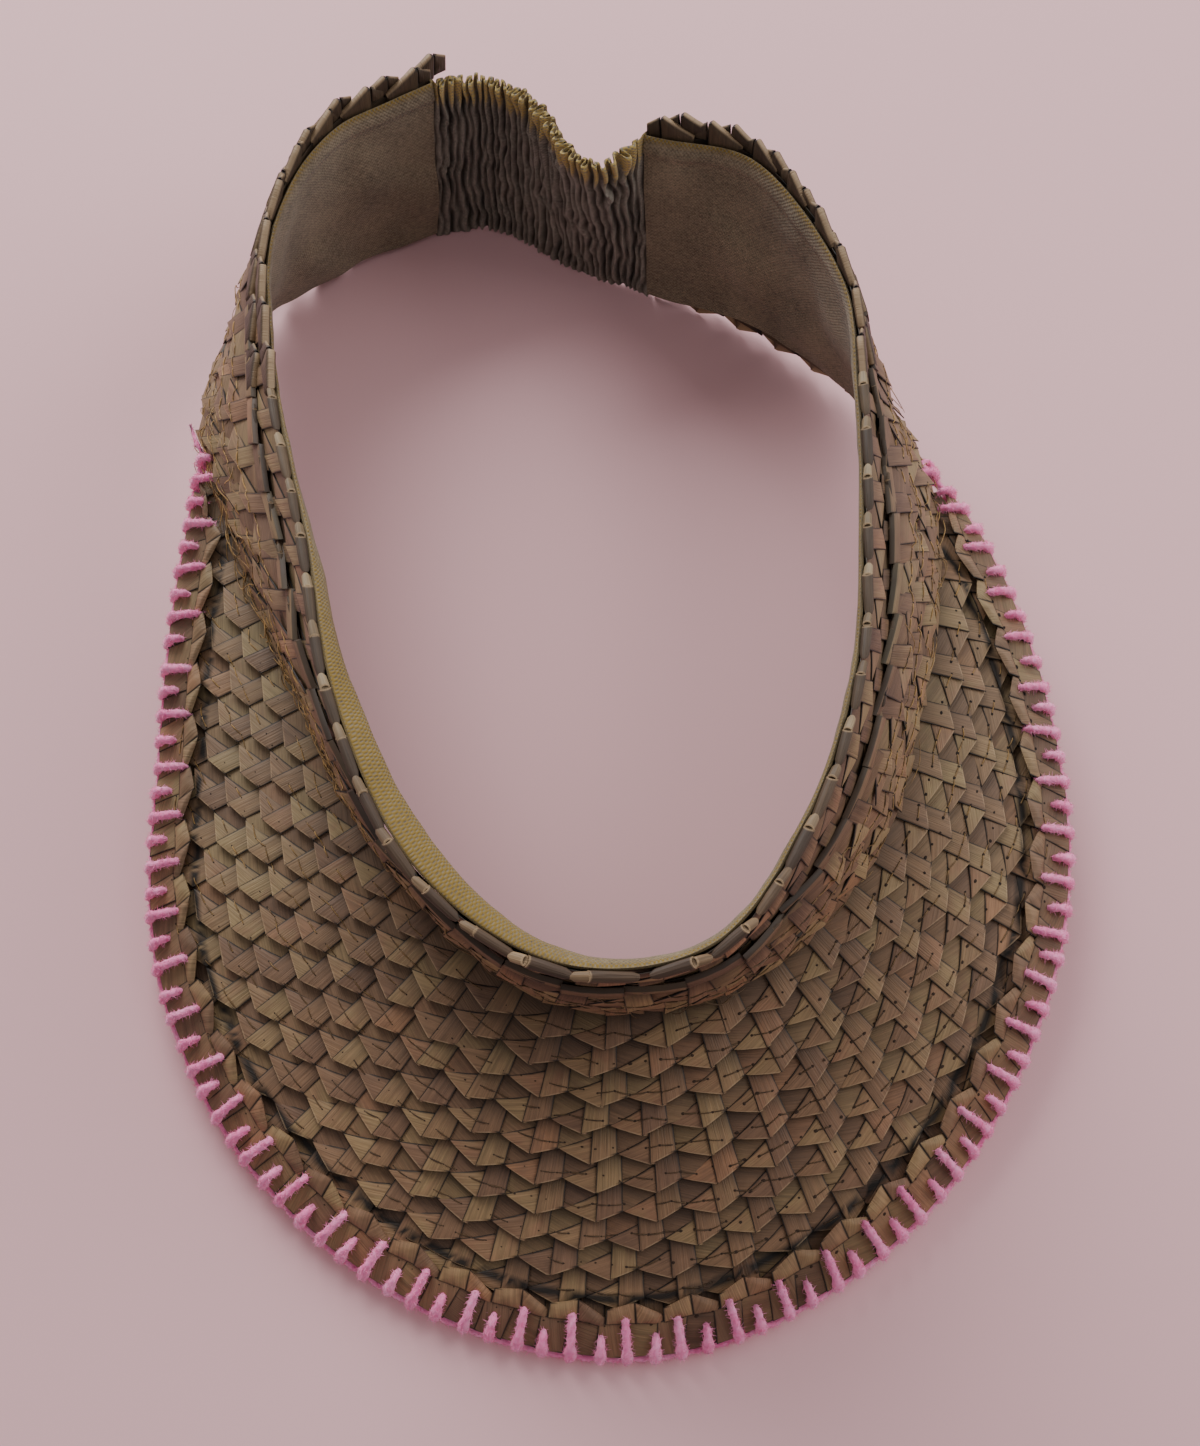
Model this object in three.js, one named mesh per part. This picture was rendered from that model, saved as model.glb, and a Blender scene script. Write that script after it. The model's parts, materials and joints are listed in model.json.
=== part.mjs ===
// Straw visor: a flared head band and a crescent brim of sewn palm braid, a cotton lining,
// a gathered elastic back and a yarn edging. Millimetres, +Z up, the front of the brim towards -Y.

import * as THREE from 'three';

// Head band
const HEAD_LENGTH = 231; // top edge in plan, back to front
const HEAD_WIDTH = 136; // top edge in plan, side to side
const BAND_HEIGHT = 51; // top edge to brim joint, measured down the wall
const BACK_HEIGHT = 51; // top edge above the surface at the back ends
const FRONT_RISE = 24; // how much higher the top edge is at the front
const BACK_LIP = 2; // how far the straw stands below the joint line at the back
const CREST = 5; // how far the folded straw stands above the lining at the back ends

// Brim
const BRIM_DEPTH = 74; // joint to rim at the front
const BRIM_SLOPE = 18.1; // degrees below the horizontal
const BRIM_START = 3.3; // section at the left tip
const BRIM_END = 11.6; // section at the right tip

// Braid
const BRAID = 1; // thickness of one flat braid
const GAP = 0.3; // clearance between sewn layers
const LAP = 3; // how far one row covers the next
const INNER_ROWS = 5;
const FLARE_ROWS = 4;
const BRIM_PITCH = 6.07; // from one brim row to the next
const ROW_END = 3.5; // narrowest width at which a brim row still runs on
const EDGE_INSET = 1; // rim to the edge of the rows below it
const RIM_BRAID = 11.5; // width of the braid laid along the rim
const RIM_BRAID_WALL = 1.2;
const RIM_BRAID_START = 3; // joint to the rim braid at the tips
const RIM_BRAID_END = 2; // narrowest width of the rim braid
const YARN_START = 1; // reach of the brim where the yarn begins
const FLOOR_CLEARANCE = 0.3; // rows above the surface that the edging rests on

// Edging yarn, a cord sewn round the rim
const YARN = 2.8; // diameter of the edge strand
const YARN_FLAT = 2.2; // width of its side pressed against the surface

// Lining
const CLOTH = 1;
const LINING_GAP = 0.6; // lining to straw
const HEM = 4; // height of the folded hem
const HEM_WALL = 2; // thickness of the folded hem
const HEM_PROUD = 0.5; // hem above the straw's top edge
const HEM_SLACK = 4.5; // most that the hem stands in from the straw
const SLACK_DEPTH = 24; // how far down the slack reaches
const LINING_SHORT = 1.5; // lining's foot above the joint line

// Elastic back, a gathered sleeve
const SLEEVE = 2.4; // thickness of the sleeve's wall
const SLEEVE_HEIGHT = 51;
const SLEEVE_RISE = 0.8; // sleeve's top above the lining's top edge
const RUFFLE = 1.9; // swing of the gathers along the sleeve's two edges
const PLEAT = 0.8; // swing of the gathers half way down
const GATHER = 4.6; // length of one gather along the sleeve
const STEPS_PER_GATHER = 4;

const STEP = 8.3; // longest facet along the girth
const GIRTH_SHARE = 0.3; // where that is measured, share of the way from joint to rim

const STRAW = { color: 0x6e5644, roughness: 0.72, metalness: 0 };
const STRAW_LIGHT = { color: 0x857055, roughness: 0.7, metalness: 0 };
const YARN_COLOUR = { color: 0xeb82af, roughness: 0.95, metalness: 0 };
const CLOTH_COLOUR = { color: 0x8a7844, roughness: 0.9, metalness: 0 };

// Sections round the head, from the left back end past the front to the right back end.
// x, y: top edge in plan, shares of HEAD_WIDTH and HEAD_LENGTH
// rise: height of the top edge over the back ends, share of FRONT_RISE
// flareX, flareY: how far the wall's foot stands out in plan, shares of BAND_HEIGHT
// crest: straw above the lining's top edge, share of CREST
// lap: free edge of the flared layer below the top edge, share of BAND_HEIGHT
// lip: straw below the joint line, share of BACK_LIP
// slack: how far the lining's hem stands in, share of HEM_SLACK
const SECTIONS = [
  { x: -0.205, y: 0.5, rise: 0, flareX: -0.07, flareY: -0.1, crest: 1, lap: 0.02, lip: 0, slack: 0 },
  { x: -0.4, y: 0.43, rise: 0.07, flareX: -0.07, flareY: -0.01, crest: 0.9, lap: 0.04, lip: 0.6, slack: 0 },
  { x: -0.5, y: 0.29, rise: 0.2, flareX: -0.25, flareY: 0.22, crest: 0.6, lap: 0.1, lip: 0.6, slack: 0 },
  { x: -0.485, y: 0.1, rise: 0.39, flareX: -0.44, flareY: 0.38, crest: 0.3, lap: 0.2, lip: 0.1, slack: 0.05 },
  { x: -0.435, y: -0.07, rise: 0.56, flareX: -0.4, flareY: 0.43, crest: 0.1, lap: 0.28, lip: 0, slack: 0.25 },
  { x: -0.39, y: -0.24, rise: 0.73, flareX: -0.22, flareY: 0.41, crest: 0, lap: 0.32, lip: 0, slack: 0.75 },
  { x: -0.28, y: -0.4, rise: 0.88, flareX: -0.12, flareY: 0.31, crest: 0, lap: 0.33, lip: 0, slack: 1 },
  { x: -0.085, y: -0.495, rise: 0.98, flareX: -0.03, flareY: 0.12, crest: 0, lap: 0.33, lip: 0, slack: 0.4 },
  { x: 0.14, y: -0.49, rise: 0.98, flareX: 0.13, flareY: 0.07, crest: 0, lap: 0.33, lip: 0, slack: 0.1 },
  { x: 0.3, y: -0.385, rise: 0.88, flareX: 0.35, flareY: 0.07, crest: 0, lap: 0.33, lip: 0, slack: 0.1 },
  { x: 0.405, y: -0.25, rise: 0.75, flareX: 0.43, flareY: 0.22, crest: 0, lap: 0.32, lip: 0, slack: 0.1 },
  { x: 0.455, y: -0.105, rise: 0.6, flareX: 0.48, flareY: 0.36, crest: 0.1, lap: 0.28, lip: 0, slack: 0.1 },
  { x: 0.49, y: 0.05, rise: 0.44, flareX: 0.37, flareY: 0.28, crest: 0.3, lap: 0.2, lip: 0.3, slack: 0.05 },
  { x: 0.5, y: 0.2, rise: 0.28, flareX: 0.15, flareY: 0.04, crest: 0.6, lap: 0.1, lip: 0.8, slack: 0 },
  { x: 0.385, y: 0.36, rise: 0.1, flareX: 0.02, flareY: -0.25, crest: 0.9, lap: 0.04, lip: 1, slack: 0 },
  { x: 0.19, y: 0.415, rise: 0, flareX: 0.04, flareY: -0.2, crest: 1, lap: 0.02, lip: 0.2, slack: 0 },
];
const LAST = SECTIONS.length - 1;

// Reach of the brim from the joint, share of BRIM_DEPTH, at sections between its two tips
const BRIM = [
  { at: BRIM_START, reach: 0 },
  { at: 4, reach: 0.205 },
  { at: 5, reach: 0.545 },
  { at: 6, reach: 0.87 },
  { at: 7, reach: 0.975 },
  { at: 7.5, reach: 1 },
  { at: 8, reach: 0.92 },
  { at: 9, reach: 0.71 },
  { at: 10, reach: 0.485 },
  { at: 11, reach: 0.17 },
  { at: BRIM_END, reach: 0 },
];

// Path of the elastic back between the straw's ends.
// at: share of the straight line between them
// top, foot: how far the sleeve's two edges bow out behind that line, shares of its length
const SLEEVE_BOW = [
  { at: 0, top: 0, foot: 0 },
  { at: 0.2, top: 0.08, foot: 0.115 },
  { at: 0.4, top: 0.06, foot: 0.1 },
  { at: 0.55, top: -0.03, foot: 0.055 },
  { at: 0.67, top: -0.16, foot: 0.035 },
  { at: 0.77, top: -0.22, foot: 0.02 },
  { at: 0.86, top: -0.215, foot: 0.02 },
  { at: 0.93, top: -0.13, foot: 0.02 },
  { at: 1, top: 0, foot: 0 },
];

const SLOPE = THREE.MathUtils.degToRad(BRIM_SLOPE);
const UP = new THREE.Vector3(0, 0, 1);

// Cubic through the rows of a table, whose places are its own `at` column or the row numbers
function along(table, column, at) {
  const place = (i) => table[i].at ?? i;
  const end = table.length - 1;
  let i = 0;
  while (i < end - 1 && at > place(i + 1)) i += 1;
  const tangent = (k) => {
    const a = Math.max(k - 1, 0);
    const b = Math.min(k + 1, end);
    return (table[b][column] - table[a][column]) / (place(b) - place(a));
  };
  const span = place(i + 1) - place(i);
  const t = (at - place(i)) / span;
  const rest = 1 - t;
  const start = table[i][column] * (1 + 2 * t) * rest * rest + tangent(i) * span * t * rest * rest;
  const stop = table[i + 1][column] * t * t * (3 - 2 * t) - tangent(i + 1) * span * t * t * rest;
  return start + stop;
}

const section = (column, at) => along(SECTIONS, column, at);

function topEdge(at) {
  const height = BACK_HEIGHT + FRONT_RISE * section('rise', at);
  return new THREE.Vector3(HEAD_WIDTH * section('x', at), HEAD_LENGTH * section('y', at), height);
}

function joint(at) {
  const outX = BAND_HEIGHT * section('flareX', at);
  const outY = BAND_HEIGHT * section('flareY', at);
  const drop = Math.sqrt(BAND_HEIGHT ** 2 - outX ** 2 - outY ** 2);
  return topEdge(at).add(new THREE.Vector3(outX, outY, -drop));
}

function reach(at) {
  if (at <= BRIM_START || at >= BRIM_END) return 0;
  return BRIM_DEPTH * Math.max(along(BRIM, 'reach', at), 0);
}

// Directions at a section: down the wall, out of the wall, and out and off the brim
function frameAt(at) {
  const near = 0.02;
  const before = Math.max(at - near, 0);
  const after = Math.min(at + near, LAST);
  const top = topEdge(at);
  const foot = joint(at);
  const down = foot.clone().sub(top).normalize();
  const middle = (s) => topEdge(s).add(joint(s));
  const round = middle(after).sub(middle(before));
  const out = new THREE.Vector3().crossVectors(down, round).normalize();
  const run = joint(after).sub(joint(before));
  const plan = new THREE.Vector3(run.y, -run.x, 0).normalize();
  const brim = plan.clone().multiplyScalar(Math.cos(SLOPE)).addScaledVector(UP, -Math.sin(SLOPE));
  const off = plan.clone().multiplyScalar(Math.sin(SLOPE)).addScaledVector(UP, Math.cos(SLOPE));
  return { top, foot, down, out, brim, off };
}

// A point of the wall: below the top edge and out of the wall's mean surface
function onBand(at, below, out) {
  const f = frameAt(at);
  return f.top.addScaledVector(f.down, below).addScaledVector(f.out, out);
}

// A point of the brim: away from the joint and off the brim's mean surface
function onBrim(at, away, off) {
  const f = frameAt(at);
  const point = f.foot.addScaledVector(f.brim, away).addScaledVector(f.off, off);
  point.z = Math.max(point.z, FLOOR_CLEARANCE);
  return point;
}

// Shares from 0 to 1 that lie evenly along a path
function evenShares(path, stepsFor) {
  const fine = 600;
  const lengths = [0];
  for (let i = 1; i <= fine; i += 1) {
    lengths.push(lengths[i - 1] + path(i / fine).distanceTo(path((i - 1) / fine)));
  }
  const steps = stepsFor(lengths[fine]);
  const shares = [];
  let i = 1;
  for (let k = 0; k <= steps; k += 1) {
    const wanted = (lengths[fine] * k) / steps;
    while (i < fine && lengths[i] < wanted) i += 1;
    shares.push((i - 1 + (wanted - lengths[i - 1]) / (lengths[i] - lengths[i - 1])) / fine);
  }
  return shares;
}

// Sections shared by all pieces, evenly spaced along a path that follows the joint and partly the rim
const girth = (at) => onBrim(at, reach(at) * GIRTH_SHARE, 0);
const PLACES = evenShares((share) => girth(share * LAST), (length) => Math.ceil(length / STEP))
  .map((share) => share * LAST);

// Closed skin over a run of flat rings of equal corner count, with both ends capped
function skin(rings, outline) {
  const corners = outline.length;
  const positions = rings.flat().flatMap((p) => [p.x, p.y, p.z]);
  const faces = [];
  for (let r = 0; r + 1 < rings.length; r += 1) {
    for (let c = 0; c < corners; c += 1) {
      const d = (c + 1) % corners;
      const a = r * corners;
      const b = a + corners;
      faces.push(a + c, b + c, b + d, a + c, b + d, a + d);
    }
  }
  const last = (rings.length - 1) * corners;
  const flat = outline.map(([u, v]) => new THREE.Vector2(u, v));
  for (const [a, b, c] of THREE.ShapeUtils.triangulateShape(flat, [])) {
    faces.push(a, b, c, last + c, last + b, last + a);
  }
  const geometry = new THREE.BufferGeometry();
  geometry.setAttribute('position', new THREE.Float32BufferAttribute(positions, 3));
  geometry.setIndex(faces);
  geometry.computeVertexNormals();
  return geometry;
}

// Sweeps an outline of [across, off] pairs along the given places
function sweep(places, outlineAt, place) {
  const rings = places.map((at) => outlineAt(at).map(([across, off]) => place(at, across, off)));
  return skin(rings, outlineAt(places[0]));
}

// One flat braid: its two edges and how far its underside lies off the mean surface there
function braid(near, far, nearOff, farOff, wall = BRAID) {
  return [[near, nearOff], [far, farOff], [far, farOff + wall], [near, nearOff + wall]];
}

const group = new THREE.Group();

function add(name, geometry, look) {
  const mesh = new THREE.Mesh(geometry, new THREE.MeshStandardMaterial(look));
  mesh.name = name;
  group.add(mesh);
}

// Each row rises as it runs outwards, so that its far edge covers the next row
const rise = (pitch) => ((BRAID + GAP) * (pitch + LAP)) / pitch;

// Inner band: rows edge to edge from the crest to the foot, inside the wall's mean surface
const INNER_PITCH = BAND_HEIGHT / INNER_ROWS;
const INNER_FACE = -(GAP + BRAID);

const crest = (at) => CREST * Math.max(section('crest', at), 0);

function innerRow(row) {
  const outlineAt = (at) => {
    const near = row > 1 ? (row - 1) * INNER_PITCH + GAP : -crest(at);
    const lip = BACK_LIP * Math.max(section('lip', at), 0);
    const far = row < INNER_ROWS ? row * INNER_PITCH : BAND_HEIGHT + lip;
    return braid(near, far, INNER_FACE, INNER_FACE);
  };
  return sweep(PLACES, outlineAt, onBand);
}

for (let row = 1; row <= INNER_ROWS; row += 1) {
  add(`inner_band_row_${row}`, innerRow(row), STRAW_LIGHT);
}

// Flared layer: rows between its free edge and the joint, outside the mean surface of the wall
function flareRow(row) {
  const outlineAt = (at) => {
    const edge = BAND_HEIGHT * section('lap', at);
    const pitch = (BAND_HEIGHT - edge) / FLARE_ROWS;
    const near = row > 1 ? edge + (row - 1) * pitch : edge - crest(at);
    const far = row < FLARE_ROWS ? near + pitch + LAP : BAND_HEIGHT;
    return braid(near, far, 0, (rise(pitch) * (far - near)) / (pitch + LAP));
  };
  return sweep(PLACES, outlineAt, onBand);
}

for (let row = 1; row <= FLARE_ROWS; row += 1) {
  add(`flare_row_${row}`, flareRow(row), STRAW_LIGHT);
}

// Brim: rows parallel with the joint, each cut off where it meets the rim
const BRIM_RISE = rise(BRIM_PITCH);
const BRIM_UNDER = -(BRAID + GAP);
const BRIM_ROWS = Math.floor((BRIM_DEPTH - EDGE_INSET - ROW_END) / BRIM_PITCH) + 1;

function brimRow(row) {
  const near = (row - 1) * BRIM_PITCH;
  const limit = (at) => reach(at) - EDGE_INSET;
  const places = PLACES.filter((at) => limit(at) - near >= ROW_END);
  const outlineAt = (at) => {
    const far = Math.min(near + BRIM_PITCH + LAP, limit(at));
    const farOff = BRIM_UNDER + (BRIM_RISE * (far - near)) / (BRIM_PITCH + LAP);
    return braid(near, far, BRIM_UNDER, farOff);
  };
  return sweep(places, outlineAt, onBrim);
}

for (let row = 1; row <= BRIM_ROWS; row += 1) {
  add(`brim_row_${String(row).padStart(2, '0')}`, brimRow(row), STRAW);
}

// Rim braid: laid over the ends of the rows along the rim, narrowing at the tips
const RIM_UNDER = BRIM_UNDER + BRIM_RISE + BRAID + GAP;
const RIM_PLACES = PLACES.filter((at) => reach(at) - RIM_BRAID_START >= RIM_BRAID_END);
const YARN_PLACES = PLACES.filter((at) => reach(at) >= YARN_START);

function rimBraid() {
  const outlineAt = (at) => {
    const near = Math.max(reach(at) - RIM_BRAID, RIM_BRAID_START);
    return braid(near, reach(at), RIM_UNDER, RIM_UNDER, RIM_BRAID_WALL);
  };
  return sweep(RIM_PLACES, outlineAt, onBrim);
}

add('rim_braid', rimBraid(), STRAW_LIGHT);

// Edging: the yarn strand outside the rim, pressed flat where the brim rests on it
function yarnEdging() {
  const radius = YARN / 2;
  const outline = [
    [-YARN_FLAT / 2, -radius],
    [YARN_FLAT / 2, -radius],
    [radius, 0],
    [radius / 2, radius],
    [-radius / 2, radius],
    [-radius, 0],
  ];
  const place = (at, across, off) => {
    const f = frameAt(at);
    const level = f.brim.clone().setZ(0).normalize();
    const centre = f.foot.addScaledVector(f.brim, reach(at) + GAP);
    const point = centre.addScaledVector(level, across + radius).addScaledVector(UP, off);
    return point.setZ(Math.max(point.z, 0));
  };
  return sweep(YARN_PLACES, () => outline, place);
}

// Lining: cotton inside the band with a folded hem, standing away from the straw where it is slack
const LINING_FACE = INNER_FACE - LINING_GAP;

function lining() {
  const outlineAt = (at) => {
    const slack = HEM_SLACK * Math.max(section('slack', at), 0);
    const lean = (below) => slack * Math.max(1 - below / SLACK_DEPTH, 0);
    const outer = (below) => LINING_FACE - lean(below);
    const foot = BAND_HEIGHT - LINING_SHORT;
    const rowEdges = Array.from({ length: INNER_ROWS - 1 }, (_, k) => (INNER_ROWS - 1 - k) * INNER_PITCH);
    return [
      [-HEM_PROUD, outer(-HEM_PROUD) - HEM_WALL],
      [HEM, outer(HEM) - HEM_WALL],
      [HEM, outer(HEM) - CLOTH],
      [SLACK_DEPTH, LINING_FACE - CLOTH],
      [foot, LINING_FACE - CLOTH],
      [foot, LINING_FACE],
      ...rowEdges.map((below) => [below, outer(below)]),
      [-HEM_PROUD, outer(-HEM_PROUD)],
    ];
  };
  return sweep(PLACES, outlineAt, onBand);
}

add('lining', lining(), CLOTH_COLOUR);

// Elastic back: a gathered sleeve between the two ends of the band
const SEAT = (LINING_FACE - CLOTH - GAP) / 2; // middle of the layers that the sleeve meets
const SEAM = 2 * GAP; // from the ends of those layers to the sleeve
const SEAM_BLEND = 0.08; // share of the sleeve over which it turns into line with the band
const LEVELS = [
  { height: 0, swing: PLEAT },
  { height: 1 / 3, swing: PLEAT },
  { height: 2 / 3, swing: PLEAT },
  { height: 1, swing: RUFFLE },
];

// One long edge of the sleeve, as a function of the share of the way from left to right
function sleeveEdge(below, bow) {
  const endOf = (at, away) => {
    const { out, down } = frameAt(at);
    const round = new THREE.Vector3().crossVectors(out, down);
    return onBand(at, below, SEAT).addScaledVector(round, away);
  };
  const left = endOf(0, -SEAM);
  const line = endOf(LAST, SEAM).sub(left);
  const back = new THREE.Vector3(-line.y, line.x, 0);
  return (share) => left.clone()
    .addScaledVector(line, share)
    .addScaledVector(back, along(SLEEVE_BOW, bow, share));
}

// Direction out of the sleeve's wall, which meets the band's own at the two seams
function sleeveOut(edge, share) {
  const near = 0.01;
  const run = edge(Math.min(share + near, 1)).sub(edge(Math.max(share - near, 0)));
  const out = new THREE.Vector3(-run.y, run.x, 0).normalize();
  const end = frameAt(share < 0.5 ? 0 : LAST).out.setZ(0).normalize();
  const blend = Math.max(1 - Math.min(share, 1 - share) / SEAM_BLEND, 0);
  return out.lerp(end, blend).normalize();
}

function elasticBack() {
  const topLine = sleeveEdge(-SLEEVE_RISE, 'top');
  const footLine = sleeveEdge(SLEEVE_HEIGHT - SLEEVE_RISE, 'foot');
  const middle = (share) => topLine(share).lerp(footLine(share), 0.5);
  const stepsFor = (length) => Math.round(length / GATHER) * STEPS_PER_GATHER;
  const rings = evenShares(middle, stepsFor).map((share, k, shares) => {
    const inner = k > 0 && k < shares.length - 1 ? 1 : 0;
    const wave = inner * Math.sin((Math.PI * (2 * k + 1)) / STEPS_PER_GATHER);
    const point = (level, face) => {
      const spot = footLine(share).lerp(topLine(share), level.height);
      const out = sleeveOut(footLine, share).lerp(sleeveOut(topLine, share), level.height);
      return spot.addScaledVector(out.normalize(), (face * SLEEVE) / 2 + level.swing * wave);
    };
    const front = LEVELS.map((level) => point(level, -1));
    const rear = LEVELS.map((level) => point(level, 1)).reverse();
    return [...front, ...rear];
  });
  const outline = [
    ...LEVELS.map(({ height }) => [0, height * SLEEVE_HEIGHT]),
    ...LEVELS.map(({ height }) => [-SLEEVE, height * SLEEVE_HEIGHT]).reverse(),
  ];
  return skin(rings, outline);
}

add('elastic_back', elasticBack(), CLOTH_COLOUR);
add('yarn_edging', yarnEdging(), YARN_COLOUR);

// The origin is the middle of the visor's footprint, on the surface
const box = new THREE.Box3().setFromObject(group);
const centre = box.getCenter(new THREE.Vector3());
group.position.set(-centre.x, -centre.y, -box.min.z);
group.updateMatrixWorld(true);

export default group;
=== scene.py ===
"""Straw visor: plaited palm-leaf rows, a cotton lining, a gathered elastic back and a yarn edging."""

import json
import logging
import math
from collections.abc import Sequence
from dataclasses import dataclass, field
from enum import Enum
from functools import partial

import bmesh
import bpy
import numpy as np
from mathutils import Matrix, Vector
from mathutils.bvhtree import BVHTree

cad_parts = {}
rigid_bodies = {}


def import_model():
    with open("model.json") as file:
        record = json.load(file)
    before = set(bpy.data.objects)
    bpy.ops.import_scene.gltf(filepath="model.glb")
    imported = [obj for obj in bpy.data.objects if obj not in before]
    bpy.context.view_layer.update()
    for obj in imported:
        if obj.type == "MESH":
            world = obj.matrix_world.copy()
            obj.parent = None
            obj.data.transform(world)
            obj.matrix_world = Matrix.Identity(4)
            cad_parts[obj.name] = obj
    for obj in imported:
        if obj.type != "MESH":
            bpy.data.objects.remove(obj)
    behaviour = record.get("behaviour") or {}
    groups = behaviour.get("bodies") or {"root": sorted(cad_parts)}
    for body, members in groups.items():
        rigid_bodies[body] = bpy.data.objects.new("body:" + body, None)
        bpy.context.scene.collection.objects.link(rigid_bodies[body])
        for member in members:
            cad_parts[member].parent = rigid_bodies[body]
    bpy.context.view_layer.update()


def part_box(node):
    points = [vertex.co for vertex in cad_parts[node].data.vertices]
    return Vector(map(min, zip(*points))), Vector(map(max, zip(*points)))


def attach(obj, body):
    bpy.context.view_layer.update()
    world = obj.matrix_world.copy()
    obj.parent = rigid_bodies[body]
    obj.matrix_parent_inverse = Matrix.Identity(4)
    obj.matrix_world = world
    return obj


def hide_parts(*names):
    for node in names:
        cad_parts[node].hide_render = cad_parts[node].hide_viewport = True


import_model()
LOG = logging.getLogger("straw_visor")

MM = 0.001
ROOT = "root"
UP = np.array([0.0, 0.0, 1.0])
Points = np.ndarray


class Slot(Enum):
    """Material slots of the record, one for each kind of piece."""

    BAND = "band_straw"
    BRIM = "brim_straw"
    LINING = "lining_cotton"
    ELASTIC = "elastic_cotton"
    YARN = "yarn"


def unit(vectors: Points) -> Points:
    """Vectors scaled to length 1."""
    return vectors / np.maximum(np.linalg.norm(vectors, axis=-1, keepdims=True), 1e-12)


def run_along(line: Points) -> Points:
    """Length along a line up to each of its points."""
    return np.concatenate([[0], np.cumsum(np.linalg.norm(np.diff(line, axis=0), axis=1))])


class Table:
    """A short table with named columns, read between its rows by a cubic."""

    def __init__(self, columns: Sequence[str], rows: Sequence[Sequence[float]]) -> None:
        """Keeps the rows by column.

        Args:
            columns: Names of the columns; one named `at` holds the rows' places.
            rows: One row of numbers for each place.
        """
        values = np.array(rows, float)
        self.values = {name: values[:, i] for i, name in enumerate(columns)}
        self.places = self.values.get("at", np.arange(len(rows), dtype=float))

    def read(self, column: str, at: Points) -> Points:
        """Values of a column.

        Args:
            column: Name of the column.
            at: Places to read.

        Returns:
            The column's values there.
        """
        place, value = self.places, self.values[column]
        slope = np.empty_like(value)
        slope[1:-1] = (value[2:] - value[:-2]) / (place[2:] - place[:-2])
        slope[0] = (value[1] - value[0]) / (place[1] - place[0])
        slope[-1] = (value[-1] - value[-2]) / (place[-1] - place[-2])
        i = np.clip(np.searchsorted(place, at, side="left") - 1, 0, len(place) - 2)
        span = place[i + 1] - place[i]
        t = (at - place[i]) / span
        r = 1 - t
        start = value[i] * (1 + 2 * t) * r * r + slope[i] * span * t * r * r
        return start + value[i + 1] * t * t * (3 - 2 * t) - slope[i + 1] * span * t * t * r


SECTIONS = Table(
    ("x", "y", "rise", "flare_x", "flare_y", "crest", "lap", "lip", "slack"),
    (
        (-0.205, 0.5, 0, -0.07, -0.1, 1, 0.02, 0, 0),
        (-0.4, 0.43, 0.07, -0.07, -0.01, 0.9, 0.04, 0.6, 0),
        (-0.5, 0.29, 0.2, -0.25, 0.22, 0.6, 0.1, 0.6, 0),
        (-0.485, 0.1, 0.39, -0.44, 0.38, 0.3, 0.2, 0.1, 0.05),
        (-0.435, -0.07, 0.56, -0.4, 0.43, 0.1, 0.28, 0, 0.25),
        (-0.39, -0.24, 0.73, -0.22, 0.41, 0, 0.32, 0, 0.75),
        (-0.28, -0.4, 0.88, -0.12, 0.31, 0, 0.33, 0, 1),
        (-0.085, -0.495, 0.98, -0.03, 0.12, 0, 0.33, 0, 0.4),
        (0.14, -0.49, 0.98, 0.13, 0.07, 0, 0.33, 0, 0.1),
        (0.3, -0.385, 0.88, 0.35, 0.07, 0, 0.33, 0, 0.1),
        (0.405, -0.25, 0.75, 0.43, 0.22, 0, 0.32, 0, 0.1),
        (0.455, -0.105, 0.6, 0.48, 0.36, 0.1, 0.28, 0, 0.1),
        (0.49, 0.05, 0.44, 0.37, 0.28, 0.3, 0.2, 0.3, 0.05),
        (0.5, 0.2, 0.28, 0.15, 0.04, 0.6, 0.1, 0.8, 0),
        (0.385, 0.36, 0.1, 0.02, -0.25, 0.9, 0.04, 1, 0),
        (0.19, 0.415, 0, 0.04, -0.2, 1, 0.02, 0.2, 0),
    ),
)
LAST = 15.0
BRIM_START = 3.3
BRIM_END = 11.6
BRIM = Table(
    ("at", "reach"),
    (
        (BRIM_START, 0),
        (4, 0.205),
        (5, 0.545),
        (6, 0.87),
        (7, 0.975),
        (7.5, 1),
        (8, 0.92),
        (9, 0.71),
        (10, 0.485),
        (11, 0.17),
        (BRIM_END, 0),
    ),
)
SLEEVE_BOW = Table(
    ("at", "top", "foot"),
    (
        (0, 0, 0),
        (0.2, 0.08, 0.115),
        (0.4, 0.06, 0.1),
        (0.55, -0.03, 0.055),
        (0.67, -0.16, 0.035),
        (0.77, -0.22, 0.02),
        (0.86, -0.215, 0.02),
        (0.93, -0.13, 0.02),
        (1, 0, 0),
    ),
)


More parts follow.
